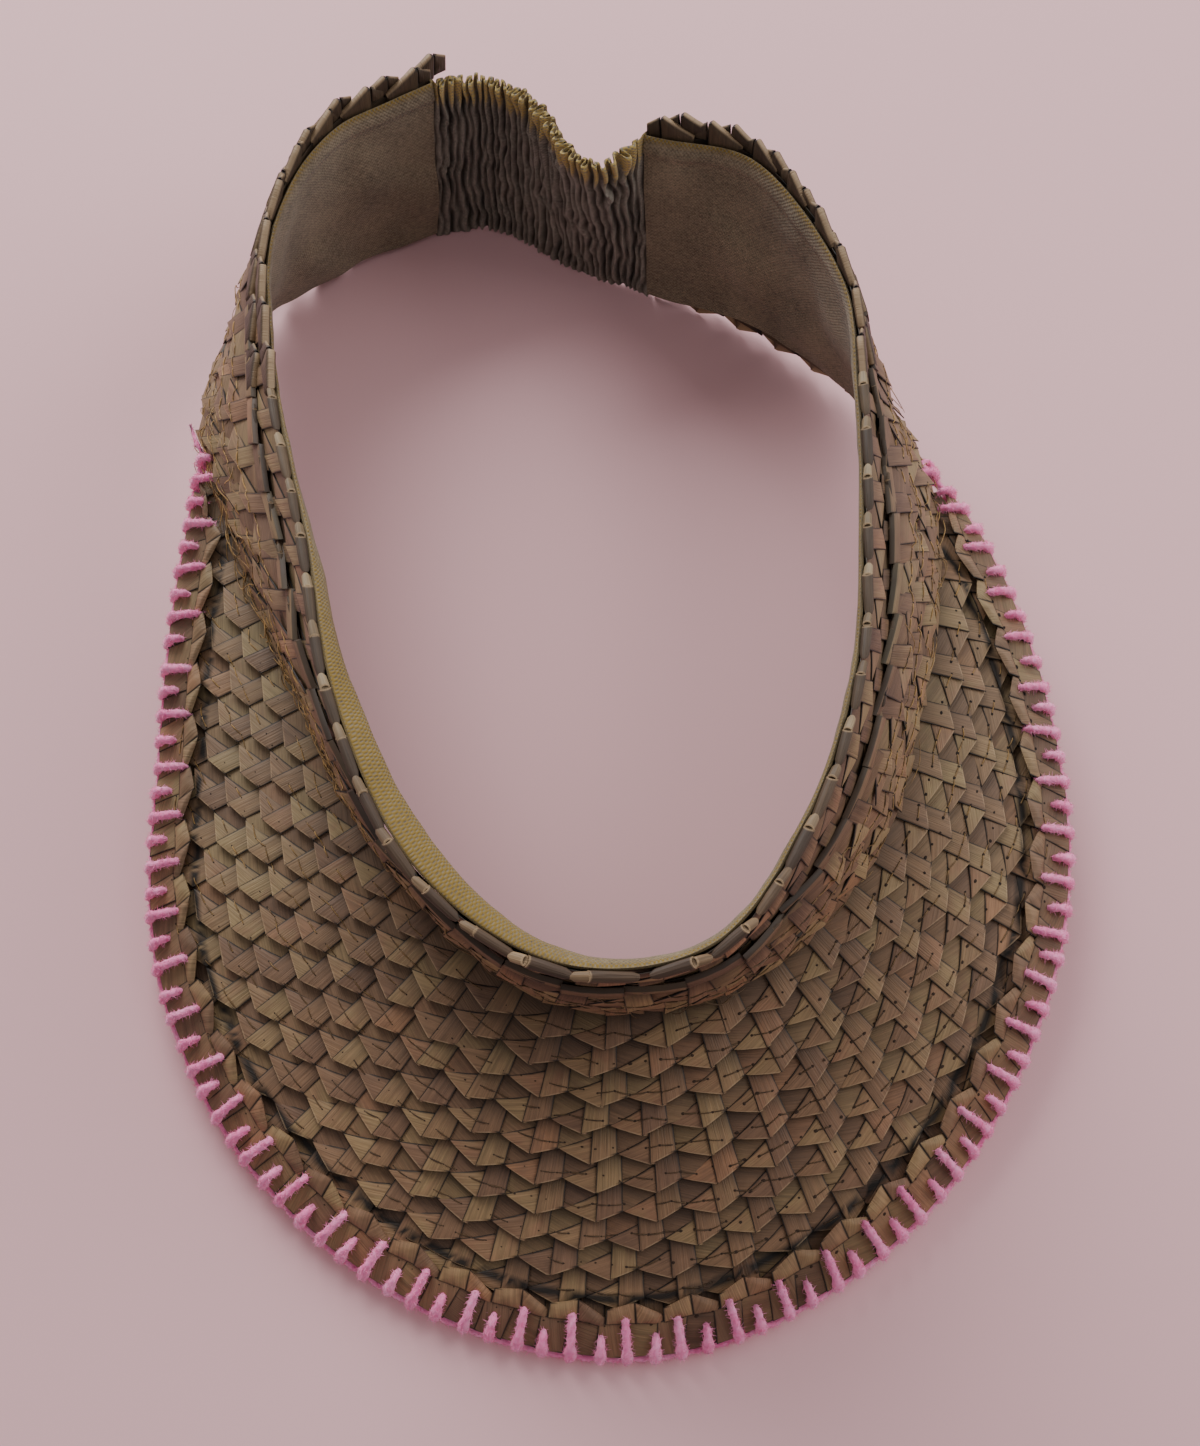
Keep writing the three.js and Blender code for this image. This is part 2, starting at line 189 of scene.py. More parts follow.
@dataclass
class Form:
    """The visor's shape in millimetres: the wall of the head band and the slope of the brim."""

    head_length: float = 231.0
    head_width: float = 136.0
    band_height: float = 51.0
    back_height: float = 51.0
    front_rise: float = 24.0
    back_lip: float = 2.0
    crest_height: float = 5.0
    brim_depth: float = 74.0
    brim_slope: float = math.radians(18.1)
    braid: float = 1.0
    gap: float = 0.3
    lap: float = 3.0
    inner_rows: int = 5
    flare_rows: int = 4
    brim_rows: int = 12
    brim_pitch: float = 6.07
    row_end: float = 3.5
    edge_inset: float = 1.0
    floor_clearance: float = 0.3
    samples: int = 3001
    shift: Points = field(default_factory=lambda: np.zeros(3))

    def __post_init__(self) -> None:
        """Reads the tables once, finely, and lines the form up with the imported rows."""
        self.at = np.linspace(0, LAST, self.samples)
        height = self.back_height + self.front_rise * self.column("rise")
        self.top = np.stack(
            [self.head_width * self.column("x"), self.head_length * self.column("y"), height], axis=1
        )
        out_x = self.band_height * self.column("flare_x")
        out_y = self.band_height * self.column("flare_y")
        drop = np.sqrt(self.band_height**2 - out_x**2 - out_y**2)
        self.foot = self.top + np.stack([out_x, out_y, -drop], axis=1)
        self.down = unit(self.foot - self.top)
        self.out = unit(np.cross(self.down, np.gradient(self.top + self.foot, axis=0)))
        run = np.gradient(self.foot, axis=0)
        plan = unit(np.stack([run[:, 1], -run[:, 0], np.zeros(self.samples)], axis=1))
        self.level = plan
        self.brim = plan * math.cos(self.brim_slope) - UP * math.sin(self.brim_slope)
        self.off = plan * math.sin(self.brim_slope) + UP * math.cos(self.brim_slope)
        inside = (self.at > BRIM_START) & (self.at < BRIM_END)
        self.reach = np.where(inside, self.brim_depth * np.maximum(BRIM.read("reach", self.at), 0), 0)
        self.crest = self.crest_height * np.maximum(self.column("crest"), 0)
        self.edge = self.band_height * self.column("lap")
        self.lip = self.back_lip * np.maximum(self.column("lip"), 0)
        low, high = (np.array(corner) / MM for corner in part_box("inner_band_row_1"))
        inner = -(self.gap + self.braid)
        pitch = self.band_height / self.inner_rows
        edges = [
            self.on_band(self.at, below, out, raw=True)
            for below in (-self.crest, np.full(self.samples, pitch))
            for out in (inner, inner + self.braid)
        ]
        raw = np.concatenate(edges)
        middle = (low + high) / 2 - (raw.min(0) + raw.max(0)) / 2
        self.shift = np.array([middle[0], middle[1], 0.0])

    def column(self, name: str) -> Points:
        """A column of the sections, read at the form's samples."""
        return SECTIONS.read(name, self.at)

    def look(self, values: Points, at: Points) -> Points:
        """Values kept at the form's samples, read at other places.

        Args:
            values: Numbers or vectors, one for each sample.
            at: Places to read.

        Returns:
            The values there.
        """
        spot = np.clip(np.asarray(at, float), 0, LAST) / LAST * (self.samples - 1)
        low = np.minimum(spot.astype(int), self.samples - 2)
        share = spot - low
        if values.ndim > 1:
            share = share[..., None]
        return values[low] * (1 - share) + values[low + 1] * share

    def on_band(self, at: Points, below: Points, out: Points, raw: bool = False) -> Points:
        """Points of the wall, in millimetres.

        Args:
            at: Section numbers.
            below: Distance below the top edge.
            out: Distance out of the wall's mean surface.
            raw: Whether the points stay in the tables' own place.

        Returns:
            One point for each place.
        """
        points = self.offset((self.top, self.down, self.out), at, below, out)
        return points if raw else self.settled(points)

    def on_brim(self, at: Points, away: Points, off: Points) -> Points:
        """Points of the brim, in millimetres.

        Args:
            at: Section numbers.
            away: Distance from the joint.
            off: Distance off the brim's mean surface.

        Returns:
            One point for each place.
        """
        return self.settled(self.offset((self.foot, self.brim, self.off), at, away, off))

    def offset(self, lines: tuple[Points, Points, Points], at: Points, far: Points, off: Points) -> Points:
        """Points at a distance along a surface and off it.

        Args:
            lines: Start of the surface, its direction and the direction off it, for each sample.
            at: Section numbers.
            far: Distance along the surface.
            off: Distance off the surface.

        Returns:
            One point for each place.
        """
        start, way, side = (self.look(values, at) for values in lines)
        far, off = (np.broadcast_to(value, np.shape(at))[..., None] for value in (far, off))
        return start + way * far + side * off

    def settled(self, points: Points) -> Points:
        """Points kept above the surface that the visor rests on, and moved to the frame's origin."""
        points[..., 2] = np.maximum(points[..., 2], self.floor_clearance)
        return points + self.shift

    def rise(self, pitch: Points) -> Points:
        """How far a shingled row climbs over its whole width."""
        return (self.braid + self.gap) * (pitch + self.lap) / pitch


class Lay(Enum):
    """Where a row of braid is sewn."""

    INNER = "inner band"
    FLARE = "flared layer"
    BRIM = "brim"
    RIM = "rim"


@dataclass
class RowPath:
    """A braid row laid on the form, measured along it, across it and off its underside."""

    form: Form
    lay: Lay
    row: int = 1
    rim_width: float = 11.5
    rim_start: float = 3.0
    rim_end: float = 2.0
    under: float = -1.3
    rim_under: float = 1.94
    soft_end: float = 1.5
    crest_share: float = 0.15

    def __post_init__(self) -> None:
        """Works out the row's two edges and its length."""
        form = self.form
        keep = np.ones(form.samples, bool)
        if self.lay is Lay.INNER:
            pitch = form.band_height / form.inner_rows
            near = np.full(form.samples, (self.row - 1) * pitch + form.gap)
            far = np.full(form.samples, self.row * pitch)
            if self.row == 1:
                near = -self.crest_share * form.crest
            if self.row == form.inner_rows:
                far = form.band_height + form.lip
        elif self.lay is Lay.FLARE:
            pitch = (form.band_height - form.edge) / form.flare_rows
            near = form.edge + (self.row - 1) * pitch
            if self.row == 1:
                near = form.edge - self.crest_share * form.crest
            far = near + pitch + form.lap if self.row < form.flare_rows else near * 0 + form.band_height
            self.climb = form.rise(pitch) * (far - near) / (pitch + form.lap)
        elif self.lay is Lay.BRIM:
            near = np.full(form.samples, (self.row - 1) * form.brim_pitch)
            far = near + form.brim_pitch + form.lap
            keep = form.reach - form.edge_inset - near >= form.row_end
        else:
            near = np.maximum(form.reach - self.rim_width, self.rim_start)
            far = form.reach
            keep = form.reach - self.rim_start >= self.rim_end
        self.near, self.far, self.keep = near, far, keep
        self.at = form.at[keep]
        middle = (near + far)[keep] / 2
        if self.lay is Lay.BRIM:
            middle = np.minimum(middle, form.reach[keep])
        self.lengths = run_along(self.surface(self.at, middle))
        self.length = float(self.lengths[-1])

    def surface(self, at: Points, across: Points, off: Points | float = 0.0) -> Points:
        """A point of the wall or brim that the row lies on.

        Args:
            at: Section numbers.
            across: Distance across the surface.
            off: Distance off it.

        Returns:
            One point for each place.
        """
        if self.lay in (Lay.INNER, Lay.FLARE):
            return self.form.on_band(at, across, off)
        return self.form.on_brim(at, across, off)

    def place(self, along: Points, across: Points, height: Points) -> Points:
        """Lays flat points on the form.

        Args:
            along: Distance along the row's middle.
            across: Share of the row's width from its near to its far edge.
            height: Height over the row's underside.

        Returns:
            Points in millimetres.
        """
        form = self.form
        at = np.interp(along, self.lengths, self.at)
        near = form.look(self.near, at)
        far = form.look(self.far, at)
        spot = near + across * (far - near)
        if self.lay is Lay.INNER:
            off = -(form.gap + form.braid) + height
        elif self.lay is Lay.FLARE:
            off = form.look(self.climb, at) * across + height
        elif self.lay is Lay.BRIM:
            off = self.under + form.rise(form.brim_pitch) * np.clip(across, 0, 1.1) + height
            left = form.look(form.reach, at) - form.edge_inset - spot
            spot = spot + left - 0.5 * (left + np.sqrt(left**2 + self.soft_end))
        else:
            off = self.rim_under + height
        return self.surface(at, spot, off)


def linear(code: str) -> tuple[float, float, float, float]:
    """An sRGB hex colour as linear light.

    Args:
        code: Six hex digits.

    Returns:
        Red, green, blue and alpha.
    """
    values = [int(code[i : i + 2], 16) / 255 for i in (0, 2, 4)]
    light = [v / 12.92 if v <= 0.04045 else ((v + 0.055) / 1.055) ** 2.4 for v in values]
    return (light[0], light[1], light[2], 1.0)


class Kind(Enum):
    """Types of node, named for what they do here."""

    MATH = "ShaderNodeMath"
    VECTOR_MATH = "ShaderNodeVectorMath"
    MIX = "ShaderNodeMix"
    RAMP = "ShaderNodeValToRGB"
    RANGE = "ShaderNodeMapRange"
    NOISE = "ShaderNodeTexNoise"
    STRETCH = "ShaderNodeMapping"
    BUMP = "ShaderNodeBump"
    VALUE = "ShaderNodeAttribute"
    FLAT_MAP = "ShaderNodeUVMap"
    PLACE = "ShaderNodeTexCoord"
    JOIN_AXES = "ShaderNodeCombineXYZ"
    SPLIT_AXES = "ShaderNodeSeparateXYZ"
    RANDOM = "FunctionNodeRandomValue"
    STORED = "GeometryNodeInputNamedAttribute"
    STORE = "GeometryNodeStoreNamedAttribute"
    POSITION = "GeometryNodeInputPosition"
    SHAPE = "GeometryNodeObjectInfo"
    LINE = "GeometryNodeMeshLine"
    SCATTER = "GeometryNodeDistributePointsOnFaces"
    COPIES = "GeometryNodeInstanceOnPoints"
    TURN_COPIES = "GeometryNodeRotateInstances"
    SIZE_COPIES = "GeometryNodeScaleInstances"
    MOVE = "GeometryNodeSetPosition"
    TO_CURVE = "GeometryNodeMeshToCurve"
    ALONG = "GeometryNodeSplineParameter"
    TILT = "GeometryNodeSetCurveTilt"
    CIRCLE = "GeometryNodeCurvePrimitiveCircle"
    SWEEP = "GeometryNodeCurveToMesh"
    JOIN = "GeometryNodeJoinGeometry"
    REALIZE = "GeometryNodeRealizeInstances"
    FINISH = "GeometryNodeSetMaterial"
    RESULT = "NodeGroupOutput"


def connect(node: bpy.types.Node, inputs: dict[str | int, object]) -> None:
    """Fills a node's inputs: a socket is linked, a value is set and None leaves the input as it is.

    Args:
        node: The node.
        inputs: A socket, a value or None for each input by its name or number.
    """
    for key, value in inputs.items():
        if isinstance(value, bpy.types.NodeSocket):
            node.id_data.links.new(value, node.inputs[key])
        elif value is not None:
            node.inputs[key].default_value = value


def add_node(
    tree: bpy.types.NodeTree,
    kind: Kind,
    *values: object,
    named: dict[str | int, object] | None = None,
    out: str | int = 0,
    stops: Sequence[tuple[float, str]] = (),
    **settings: object,
) -> bpy.types.NodeSocket | None:
    """Adds a node with its settings and links.

    Args:
        tree: Tree that the node goes in.
        kind: The node's type.
        values: A value, or a socket to link from, for each input in order.
        named: The same for inputs by name or number.
        out: Name or number of the wanted output.
        stops: Place and sRGB hex colour of each stop of a colour ramp, in order.
        settings: Values of the node's own properties.

    Returns:
        The wanted output, or None where the node has none.
    """
    node = tree.nodes.new(kind.value)
    for key, value in settings.items():
        setattr(node, key, value)
    connect(node, dict(enumerate(values)) | (named or {}))
    if stops:
        bar = node.color_ramp.elements
        while len(bar) < len(stops):
            bar.new(0.5)
        for element, (place, code) in zip(bar, stops):
            element.position = place
            element.color = linear(code)
    return node.outputs[out] if len(node.outputs) else None


def new_material(name: str) -> tuple[bpy.types.Material, partial, bpy.types.Node]:
    """An empty material.

    Args:
        name: The material's name.

    Returns:
        The material, the function that adds nodes to it and its main shader.
    """
    material = bpy.data.materials.new(name)
    material.use_nodes = True
    tree = material.node_tree
    return material, partial(add_node, tree), tree.nodes["Principled BSDF"]


COLOURS = {"data_type": "RGBA", "out": 2}
SUM = {"operation": "ADD"}
TIMES = {"operation": "MULTIPLY"}
TIMES_PLUS = {"operation": "MULTIPLY_ADD"}


@dataclass(frozen=True)
class PalmLeafStraw:
    """Palm leaf split into flat strips, dried and plaited."""

    # Dried leaf is dull and ribbed along its fibres, and no two strips have quite the same brown.
    # Painted shade darkens the cracks between strips and the crevice by the rim braid, and the pale edges are
    # partly paler cut fibre and partly a painted highlight.
    # Pattern sizes are waves in a millimetre along and across a strip, and in a metre for the patches.
    name: str
    stops: tuple[tuple[float, str], ...]
    pale: str = "bda07c"
    crack_shade: str = "0c0806"
    front: str = "fff0ea"
    rib: float = 0.3
    streaks: tuple[float, float, float] = (0.1, 0.8, 1.0)
    stains: tuple[float, float, float] = (0.25, 0.35, 1.0)
    patches: float = 22.0
    apart: float = 600.0
    roughness: float = 0.6
    relief: float = 0.0002

    def build(self) -> bpy.types.Material:
        """The material, with fibres along each strip, painted shade in the cracks between strips and a
        painted highlight on the pale edges.

        Returns:
            The material.
        """
        material, add, shader = new_material(self.name)
        tone, edge, shade, crevice_shade = (
            add(Kind.VALUE, out="Fac", attribute_name=label)
            for label in ("tone", "edge", "shade", "rim_near")
        )
        place = add(Kind.PLACE, out="Object")
        apart = add(Kind.MATH, tone, self.apart, **TIMES)
        shift = add(Kind.JOIN_AXES, apart, apart, apart)
        spot = add(Kind.VECTOR_MATH, add(Kind.FLAT_MAP, uv_map="fibres"), shift, **SUM)
        ribs, streaks, stains, patches = (
            add(
                Kind.NOISE,
                add(Kind.STRETCH, source, named={"Scale": scale}),
                named={"Scale": 1.0, "Detail": detail},
            )
            for source, scale, detail in (
                (spot, (0.1, 1 / self.rib, 1.0), 2.0),
                (spot, self.streaks, 2.0),
                (spot, self.stains, 3.0),
                (place, (self.patches,) * 3, 2.0),
            )
        )
        pick = add(Kind.MATH, stains, 0.3, add(Kind.MATH, tone, -0.15, **SUM), **TIMES_PLUS)
        colour = add(Kind.RAMP, pick, stops=self.stops)
        light = 0.2
        for pattern, share in ((ribs, 0.85), (streaks, 0.5)):
            light = add(Kind.MATH, pattern, share, light, **TIMES_PLUS)
        light = add(Kind.MATH, patches, 0.4, add(Kind.MATH, light, -0.2, **SUM), **TIMES_PLUS)
        aside = add(Kind.MATH, add(Kind.SPLIT_AXES, place), operation="ABSOLUTE")
        aside = add(Kind.RANGE, aside, 0.02, 0.07, 0.25, 0.65)
        shade = add(Kind.MATH, shade, add(Kind.MATH, 1.0, aside, operation="SUBTRACT"), aside, **TIMES_PLUS)
        light = add(Kind.MATH, light, shade, **TIMES)
        # The front is tinted redder, its own colour, and a little darker, which is painted shade for the
        # front that faces away from the light.
        front = add(Kind.RANGE, add(Kind.SPLIT_AXES, place, out=1), -0.01, -0.1, 0.0, 1.0)
        # Painted shade: the cracks between strips and the crevice under the rim braid's inner edge take the
        # near-black crack colour.
        dark = add(Kind.RANGE, edge, 0.08, 0.47, 1.0, 0.0)
        # The pale edges are partly paler cut fibre and partly a painted highlight.
        cut_edge_highlight = add(Kind.RANGE, edge, 0.6, 1.0, 0.0, 0.5)
        crevice_shade = add(Kind.RANGE, crevice_shade, 8.4, 9.6, 0.0, 0.95)
        dark = add(Kind.MATH, dark, crevice_shade, operation="MAXIMUM")
        for share, mode, coat in (
            (1.0, "MULTIPLY", light),
            (front, "MULTIPLY", linear(self.front)),
            (dark, "MIX", linear(self.crack_shade)),
            (cut_edge_highlight, "MIX", linear(self.pale)),
        ):
            colour = add(Kind.MIX, named={0: share, 6: colour, 7: coat}, blend_type=mode, **COLOURS)
        bump = {"Strength": 0.8, "Distance": self.relief, "Height": ribs}
        looks = {
            "Base Color": colour,
            "Roughness": add(Kind.MATH, ribs, 0.2, self.roughness - 0.1, **TIMES_PLUS),
            "Specular IOR Level": 0.4,
            "Normal": add(Kind.BUMP, named=bump),
        }
        connect(shader, looks)
        return material


@dataclass(frozen=True)
class Cotton:
    """Plain-woven cotton cloth, dyed and worn."""

    # Cotton is matt, with a visible grid of threads, uneven slubs and a soft fuzz that catches the light.
    # Its threads are drawn a little coarser than real, so that they show.
    # Pattern sizes are waves in a millimetre, and the thread is in millimetres.
    name: str
    dark: str
    light: str
    tint: str = "7c652d"
    deep: str = "858079"
    thread: float = 0.55
    wobble: float = 0.35
    slub: tuple[float, float, float] = (0.5, 1.7, 1.0)
    slub_across: tuple[float, float, float] = (1.8, 0.5, 1.0)
    blotch: tuple[float, float, float] = (0.06, 0.06, 1.0)
    relief: float = 0.00022

    def build(self) -> bpy.types.Material:
        """The material, with its weave, a gold tint that is partly wear and partly a painted highlight, and
        painted shade in its folds.

        Returns:
            The material.
        """
        material, add, shader = new_material(self.name)
        uv = add(Kind.FLAT_MAP, uv_map="cloth")
        wobble = add(Kind.NOISE, uv, named={"Scale": self.wobble, "Detail": 2.0}, out="Color")
        spot = add(Kind.VECTOR_MATH, wobble, (0.8, 0.8, 0.0), uv, **TIMES_PLUS)
        turn = math.pi / self.thread
        turned = (add(Kind.MATH, add(Kind.SPLIT_AXES, spot, out=axis), turn, **TIMES) for axis in (0, 1))
        warp, weft = (add(Kind.MATH, angle, operation="SINE") for angle in turned)
        weave = add(Kind.MATH, warp, weft, **TIMES)
        slub, slub_across, blotch = (
            add(
                Kind.NOISE,
                add(Kind.STRETCH, uv, named={"Scale": scale}),
                named={"Scale": 1.0, "Detail": detail},
            )
            for scale, detail in ((self.slub, 4.0), (self.slub_across, 4.0), (self.blotch, 2.0))
        )
        level = -0.35
        for pattern, share in ((weave, 0.12), (slub, 0.7), (slub_across, 0.5), (blotch, 0.55)):
            level = add(Kind.MATH, pattern, share, level, **TIMES_PLUS)
        # The fold value darkens the colour: a painted shade in the sleeve's creases.
        wear, deep = (add(Kind.VALUE, out="Fac", attribute_name=label) for label in ("wear", "deep"))
        weave_speckle = add(Kind.MATH, weave, 1.1, add(Kind.MATH, slub, 0.4, **SUM), **TIMES_PLUS)
        wear = add(Kind.MATH, wear, weave_speckle, **TIMES)
        colour = add(Kind.RAMP, level, stops=((0.12, self.dark), (0.85, self.light)))
        # The gold tint is partly wear and partly a painted highlight where the hem and the sleeve's top face
        # the light.
        for share, mode, coat in ((wear, "MIX", self.tint), (deep, "MULTIPLY", self.deep)):
            colour = add(Kind.MIX, named={0: share, 6: colour, 7: linear(coat)}, blend_type=mode, **COLOURS)
        height = add(Kind.MATH, slub, 0.6, add(Kind.MATH, weave, 0.5, **TIMES), **TIMES_PLUS)
        bump = {"Strength": 0.7, "Distance": self.relief, "Height": height}
        looks = {
            "Base Color": colour,
            "Roughness": 0.85,
            "Specular IOR Level": 0.25,
            "Sheen Weight": 0.12,
            "Sheen Roughness": 0.5,
            "Normal": add(Kind.BUMP, named=bump),
        }
        connect(shader, looks)
        return material


@dataclass(frozen=True)
class WoolYarn:
    """Soft-spun yarn: two plies twisted together and brushed."""

    # Brushing raises a fuzz that scatters light, so that the yarn is matt and glows at its edges.
    # Pattern sizes are waves in a metre.
    name: str
    dark: str = "ee6da8"
    light: str = "ffa8d0"
    grain: float = 900.0
    patch: float = 130.0
    relief: float = 0.0003

    def build(self) -> bpy.types.Material:
        """The material, patchy where the dye took unevenly.

        Returns:
            The material.
        """
        material, add, shader = new_material(self.name)
        place = add(Kind.PLACE, out="Object")
        grain, patch = (
            add(
                Kind.NOISE,
                add(Kind.STRETCH, place, named={"Scale": (size,) * 3}),
                named={"Scale": 1.0, "Detail": detail},
            )
            for size, detail in ((self.grain, 3.0), (self.patch, 2.0))
        )
        level = -0.1
        for pattern in (grain, patch):
            level = add(Kind.MATH, pattern, 0.6, level, **TIMES_PLUS)
        bump = {"Strength": 0.5, "Distance": self.relief, "Height": grain}
        looks = {
            "Base Color": add(Kind.RAMP, level, stops=((0.25, self.dark), (0.7, self.light))),
            "Roughness": 0.95,
            "Specular IOR Level": 0.1,
            "Sheen Weight": 0.4,
            "Subsurface Weight": 0.15,
            "Subsurface Radius": (0.002, 0.001, 0.001),
            "Subsurface Scale": 0.5,
            "Normal": add(Kind.BUMP, named=bump),
        }
        connect(shader, looks)
        return material


@dataclass(frozen=True)
class SewingThread:
    """Spun thread, waxed and pulled tight."""

    # Wax and tension leave a fine smooth line with a faint gloss, and the thread is darker towards the front.
    # The grain's size is in waves in a metre.
    name: str
    dark: str
    light: str
    front: str = "38271a"
    roughness: float = 0.55
    grain: float = 400.0
    relief: float = 0.0001

    def build(self) -> bpy.types.Material:
        """The material, speckled along the thread.

        Returns:
            The material.
        """
        material, add, shader = new_material(self.name)
        place = add(Kind.PLACE, out="Object")
        spot = add(Kind.STRETCH, place, named={"Scale": (self.grain,) * 3})
        grain = add(Kind.NOISE, spot, named={"Scale": 1.0, "Detail": 2.0})
        front = add(Kind.RANGE, add(Kind.SPLIT_AXES, place, out=1), -0.02, -0.085, 0.0, 0.85)
        spun = add(Kind.RAMP, grain, stops=((0.3, self.dark), (0.7, self.light)))
        tint = {0: front, 6: spun, 7: linear(self.front)}
        bump = {"Strength": 0.3, "Distance": self.relief, "Height": grain}
        looks = {
            "Base Color": add(Kind.MIX, named=tint, blend_type="MIX", **COLOURS),
            "Roughness": self.roughness,
            "Normal": add(Kind.BUMP, named=bump),
        }
        connect(shader, looks)
        return material


STRAW_STOPS = (
    (0.0, "66503f"),
    (0.12, "7c634e"),
    (0.45, "8a7054"),
    (0.7, "96835e"),
    (0.86, "8e6f55"),
    (0.94, "9d7a5a"),
    (1.0, "a27d5c"),
)
FOLDED_STOPS = (
    (0.0, "46382b"),
    (0.4, "5a4936"),
    (0.7, "7c694e"),
    (1.0, "a39172"),
)


@dataclass
class Finishes:
    """Every finish of the visor, built once."""

    straw: bpy.types.Material
    folded: bpy.types.Material
    lining: bpy.types.Material
    elastic: bpy.types.Material
    yarn: bpy.types.Material
    thread: bpy.types.Material
    hole: bpy.types.Material

    @classmethod
    def build(cls) -> "Finishes":
        """All finishes, some with painted shade and highlights in their colours.

        Returns:
            The finishes.
        """
        return cls(
            straw=PalmLeafStraw("palm_leaf_straw", STRAW_STOPS).build(),
            folded=PalmLeafStraw("palm_leaf_folded", FOLDED_STOPS).build(),
            lining=Cotton("cotton_lining", "443b32", "9b8d75", thread=0.5).build(),
            elastic=Cotton("cotton_sleeve", "55504a", "a8a193", tint="b89f5e", thread=0.42).build(),
            yarn=WoolYarn("pink_yarn").build(),
            thread=SewingThread("golden_thread", "4e3a22", "c29a5c").build(),
            # The needle holes get a near-black colour: a painted shade for the hollow of each hole.
            hole=SewingThread("needle_hole", "120b08", "21160f", roughness=0.9).build(),
        )


def new_object(name: str, data: bpy.types.ID) -> bpy.types.Object:
    """An object at the origin that shows a mesh, a lamp or a camera.

    Args:
        name: The object's name.
        data: What it shows.

    Returns:
        The object.
    """
    piece = bpy.data.objects.new(name, data)
    bpy.context.scene.collection.objects.link(piece)
    return piece


def band_faces(low: int, high: int, sides: int) -> list[list[int]]:
    """Faces between two rings of points, which start at the numbers low and high."""
    return [[low + i, low + (i + 1) % sides, high + (i + 1) % sides, high + i] for i in range(sides)]


def cap_faces(start: int, centre: int, sides: int, back: bool = False) -> list[list[int]]:
    """Faces between a ring of points and one point, turned the other way for a back."""
    order = -1 if back else 1
    return [[start + i, start + (i + 1) % sides][::order] + [centre] for i in range(sides)]


def read_points(mesh: bpy.types.Mesh) -> Points:
    """Places of a mesh's points.

    Args:
        mesh: The mesh.

    Returns:
        One place for each point.
    """
    points = np.zeros(len(mesh.vertices) * 3, np.float32)
    mesh.vertices.foreach_get("co", points)
    return points.reshape(-1, 3)


def move_points(mesh: bpy.types.Mesh, points: Points) -> None:
    """Moves a mesh's points to new places."""
    mesh.vertices.foreach_set("co", np.asarray(points, np.float32).ravel())
    mesh.update()


def mesh_from(
    name: str,
    points: Points,
    faces: Sequence[Sequence[int]],
    uv: Points | None = None,
    layer: str = "fibres",
) -> bpy.types.Mesh:
    """A mesh from points and faces.

    Args:
        name: The mesh's name.
        points: Its points, in the units that it will be used in.
        faces: Corner numbers of each face.
        uv: Flat place of each point, where a finish needs one.
        layer: Name of the flat map.

    Returns:
        The mesh.
    """
    mesh = bpy.data.meshes.new(name)
    mesh.from_pydata([tuple(p) for p in np.asarray(points, float)], [], [tuple(f) for f in faces])
    if uv is not None:
        flat = mesh.uv_layers.new(name=layer)
        corners = np.zeros(len(mesh.loops), int)
        mesh.loops.foreach_get("vertex_index", corners)
        flat.data.foreach_set("uv", np.asarray(uv, np.float32)[corners].ravel())
    return mesh


def set_numbers(mesh: bpy.types.Mesh, name: str, values: Points) -> None:
    """Keeps one number for each point of a mesh."""
    layer = mesh.attributes.new(name, "FLOAT", "POINT")
    layer.data.foreach_set("value", np.asarray(values, np.float32))


def finish_shape(mesh: bpy.types.Mesh, crease: float = 40.0) -> None:
    """Turns faces outwards and shades them smoothly up to a crease angle in degrees.

    Args:
        mesh: The mesh.
        crease: The crease angle.
    """
    shape = bmesh.new()
    shape.from_mesh(mesh)
    bmesh.ops.recalc_face_normals(shape, faces=shape.faces)
    shape.to_mesh(mesh)
    shape.free()
    mesh.shade_smooth()
    mesh.set_sharp_from_angle(angle=math.radians(crease))


def dress(piece: bpy.types.Object, slot: Slot, *nodes: str) -> bpy.types.Object:
    """Ties a finished piece to the body and hides the nodes that it stands for.

    Args:
        piece: The piece.
        slot: Not used.
        nodes: The nodes that it stands for.

    Returns:
        The piece.
    """
    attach(piece, ROOT)
    if nodes:
        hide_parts(*nodes)
    LOG.info("%s: %d faces", piece.name, len(piece.data.polygons))
    return piece


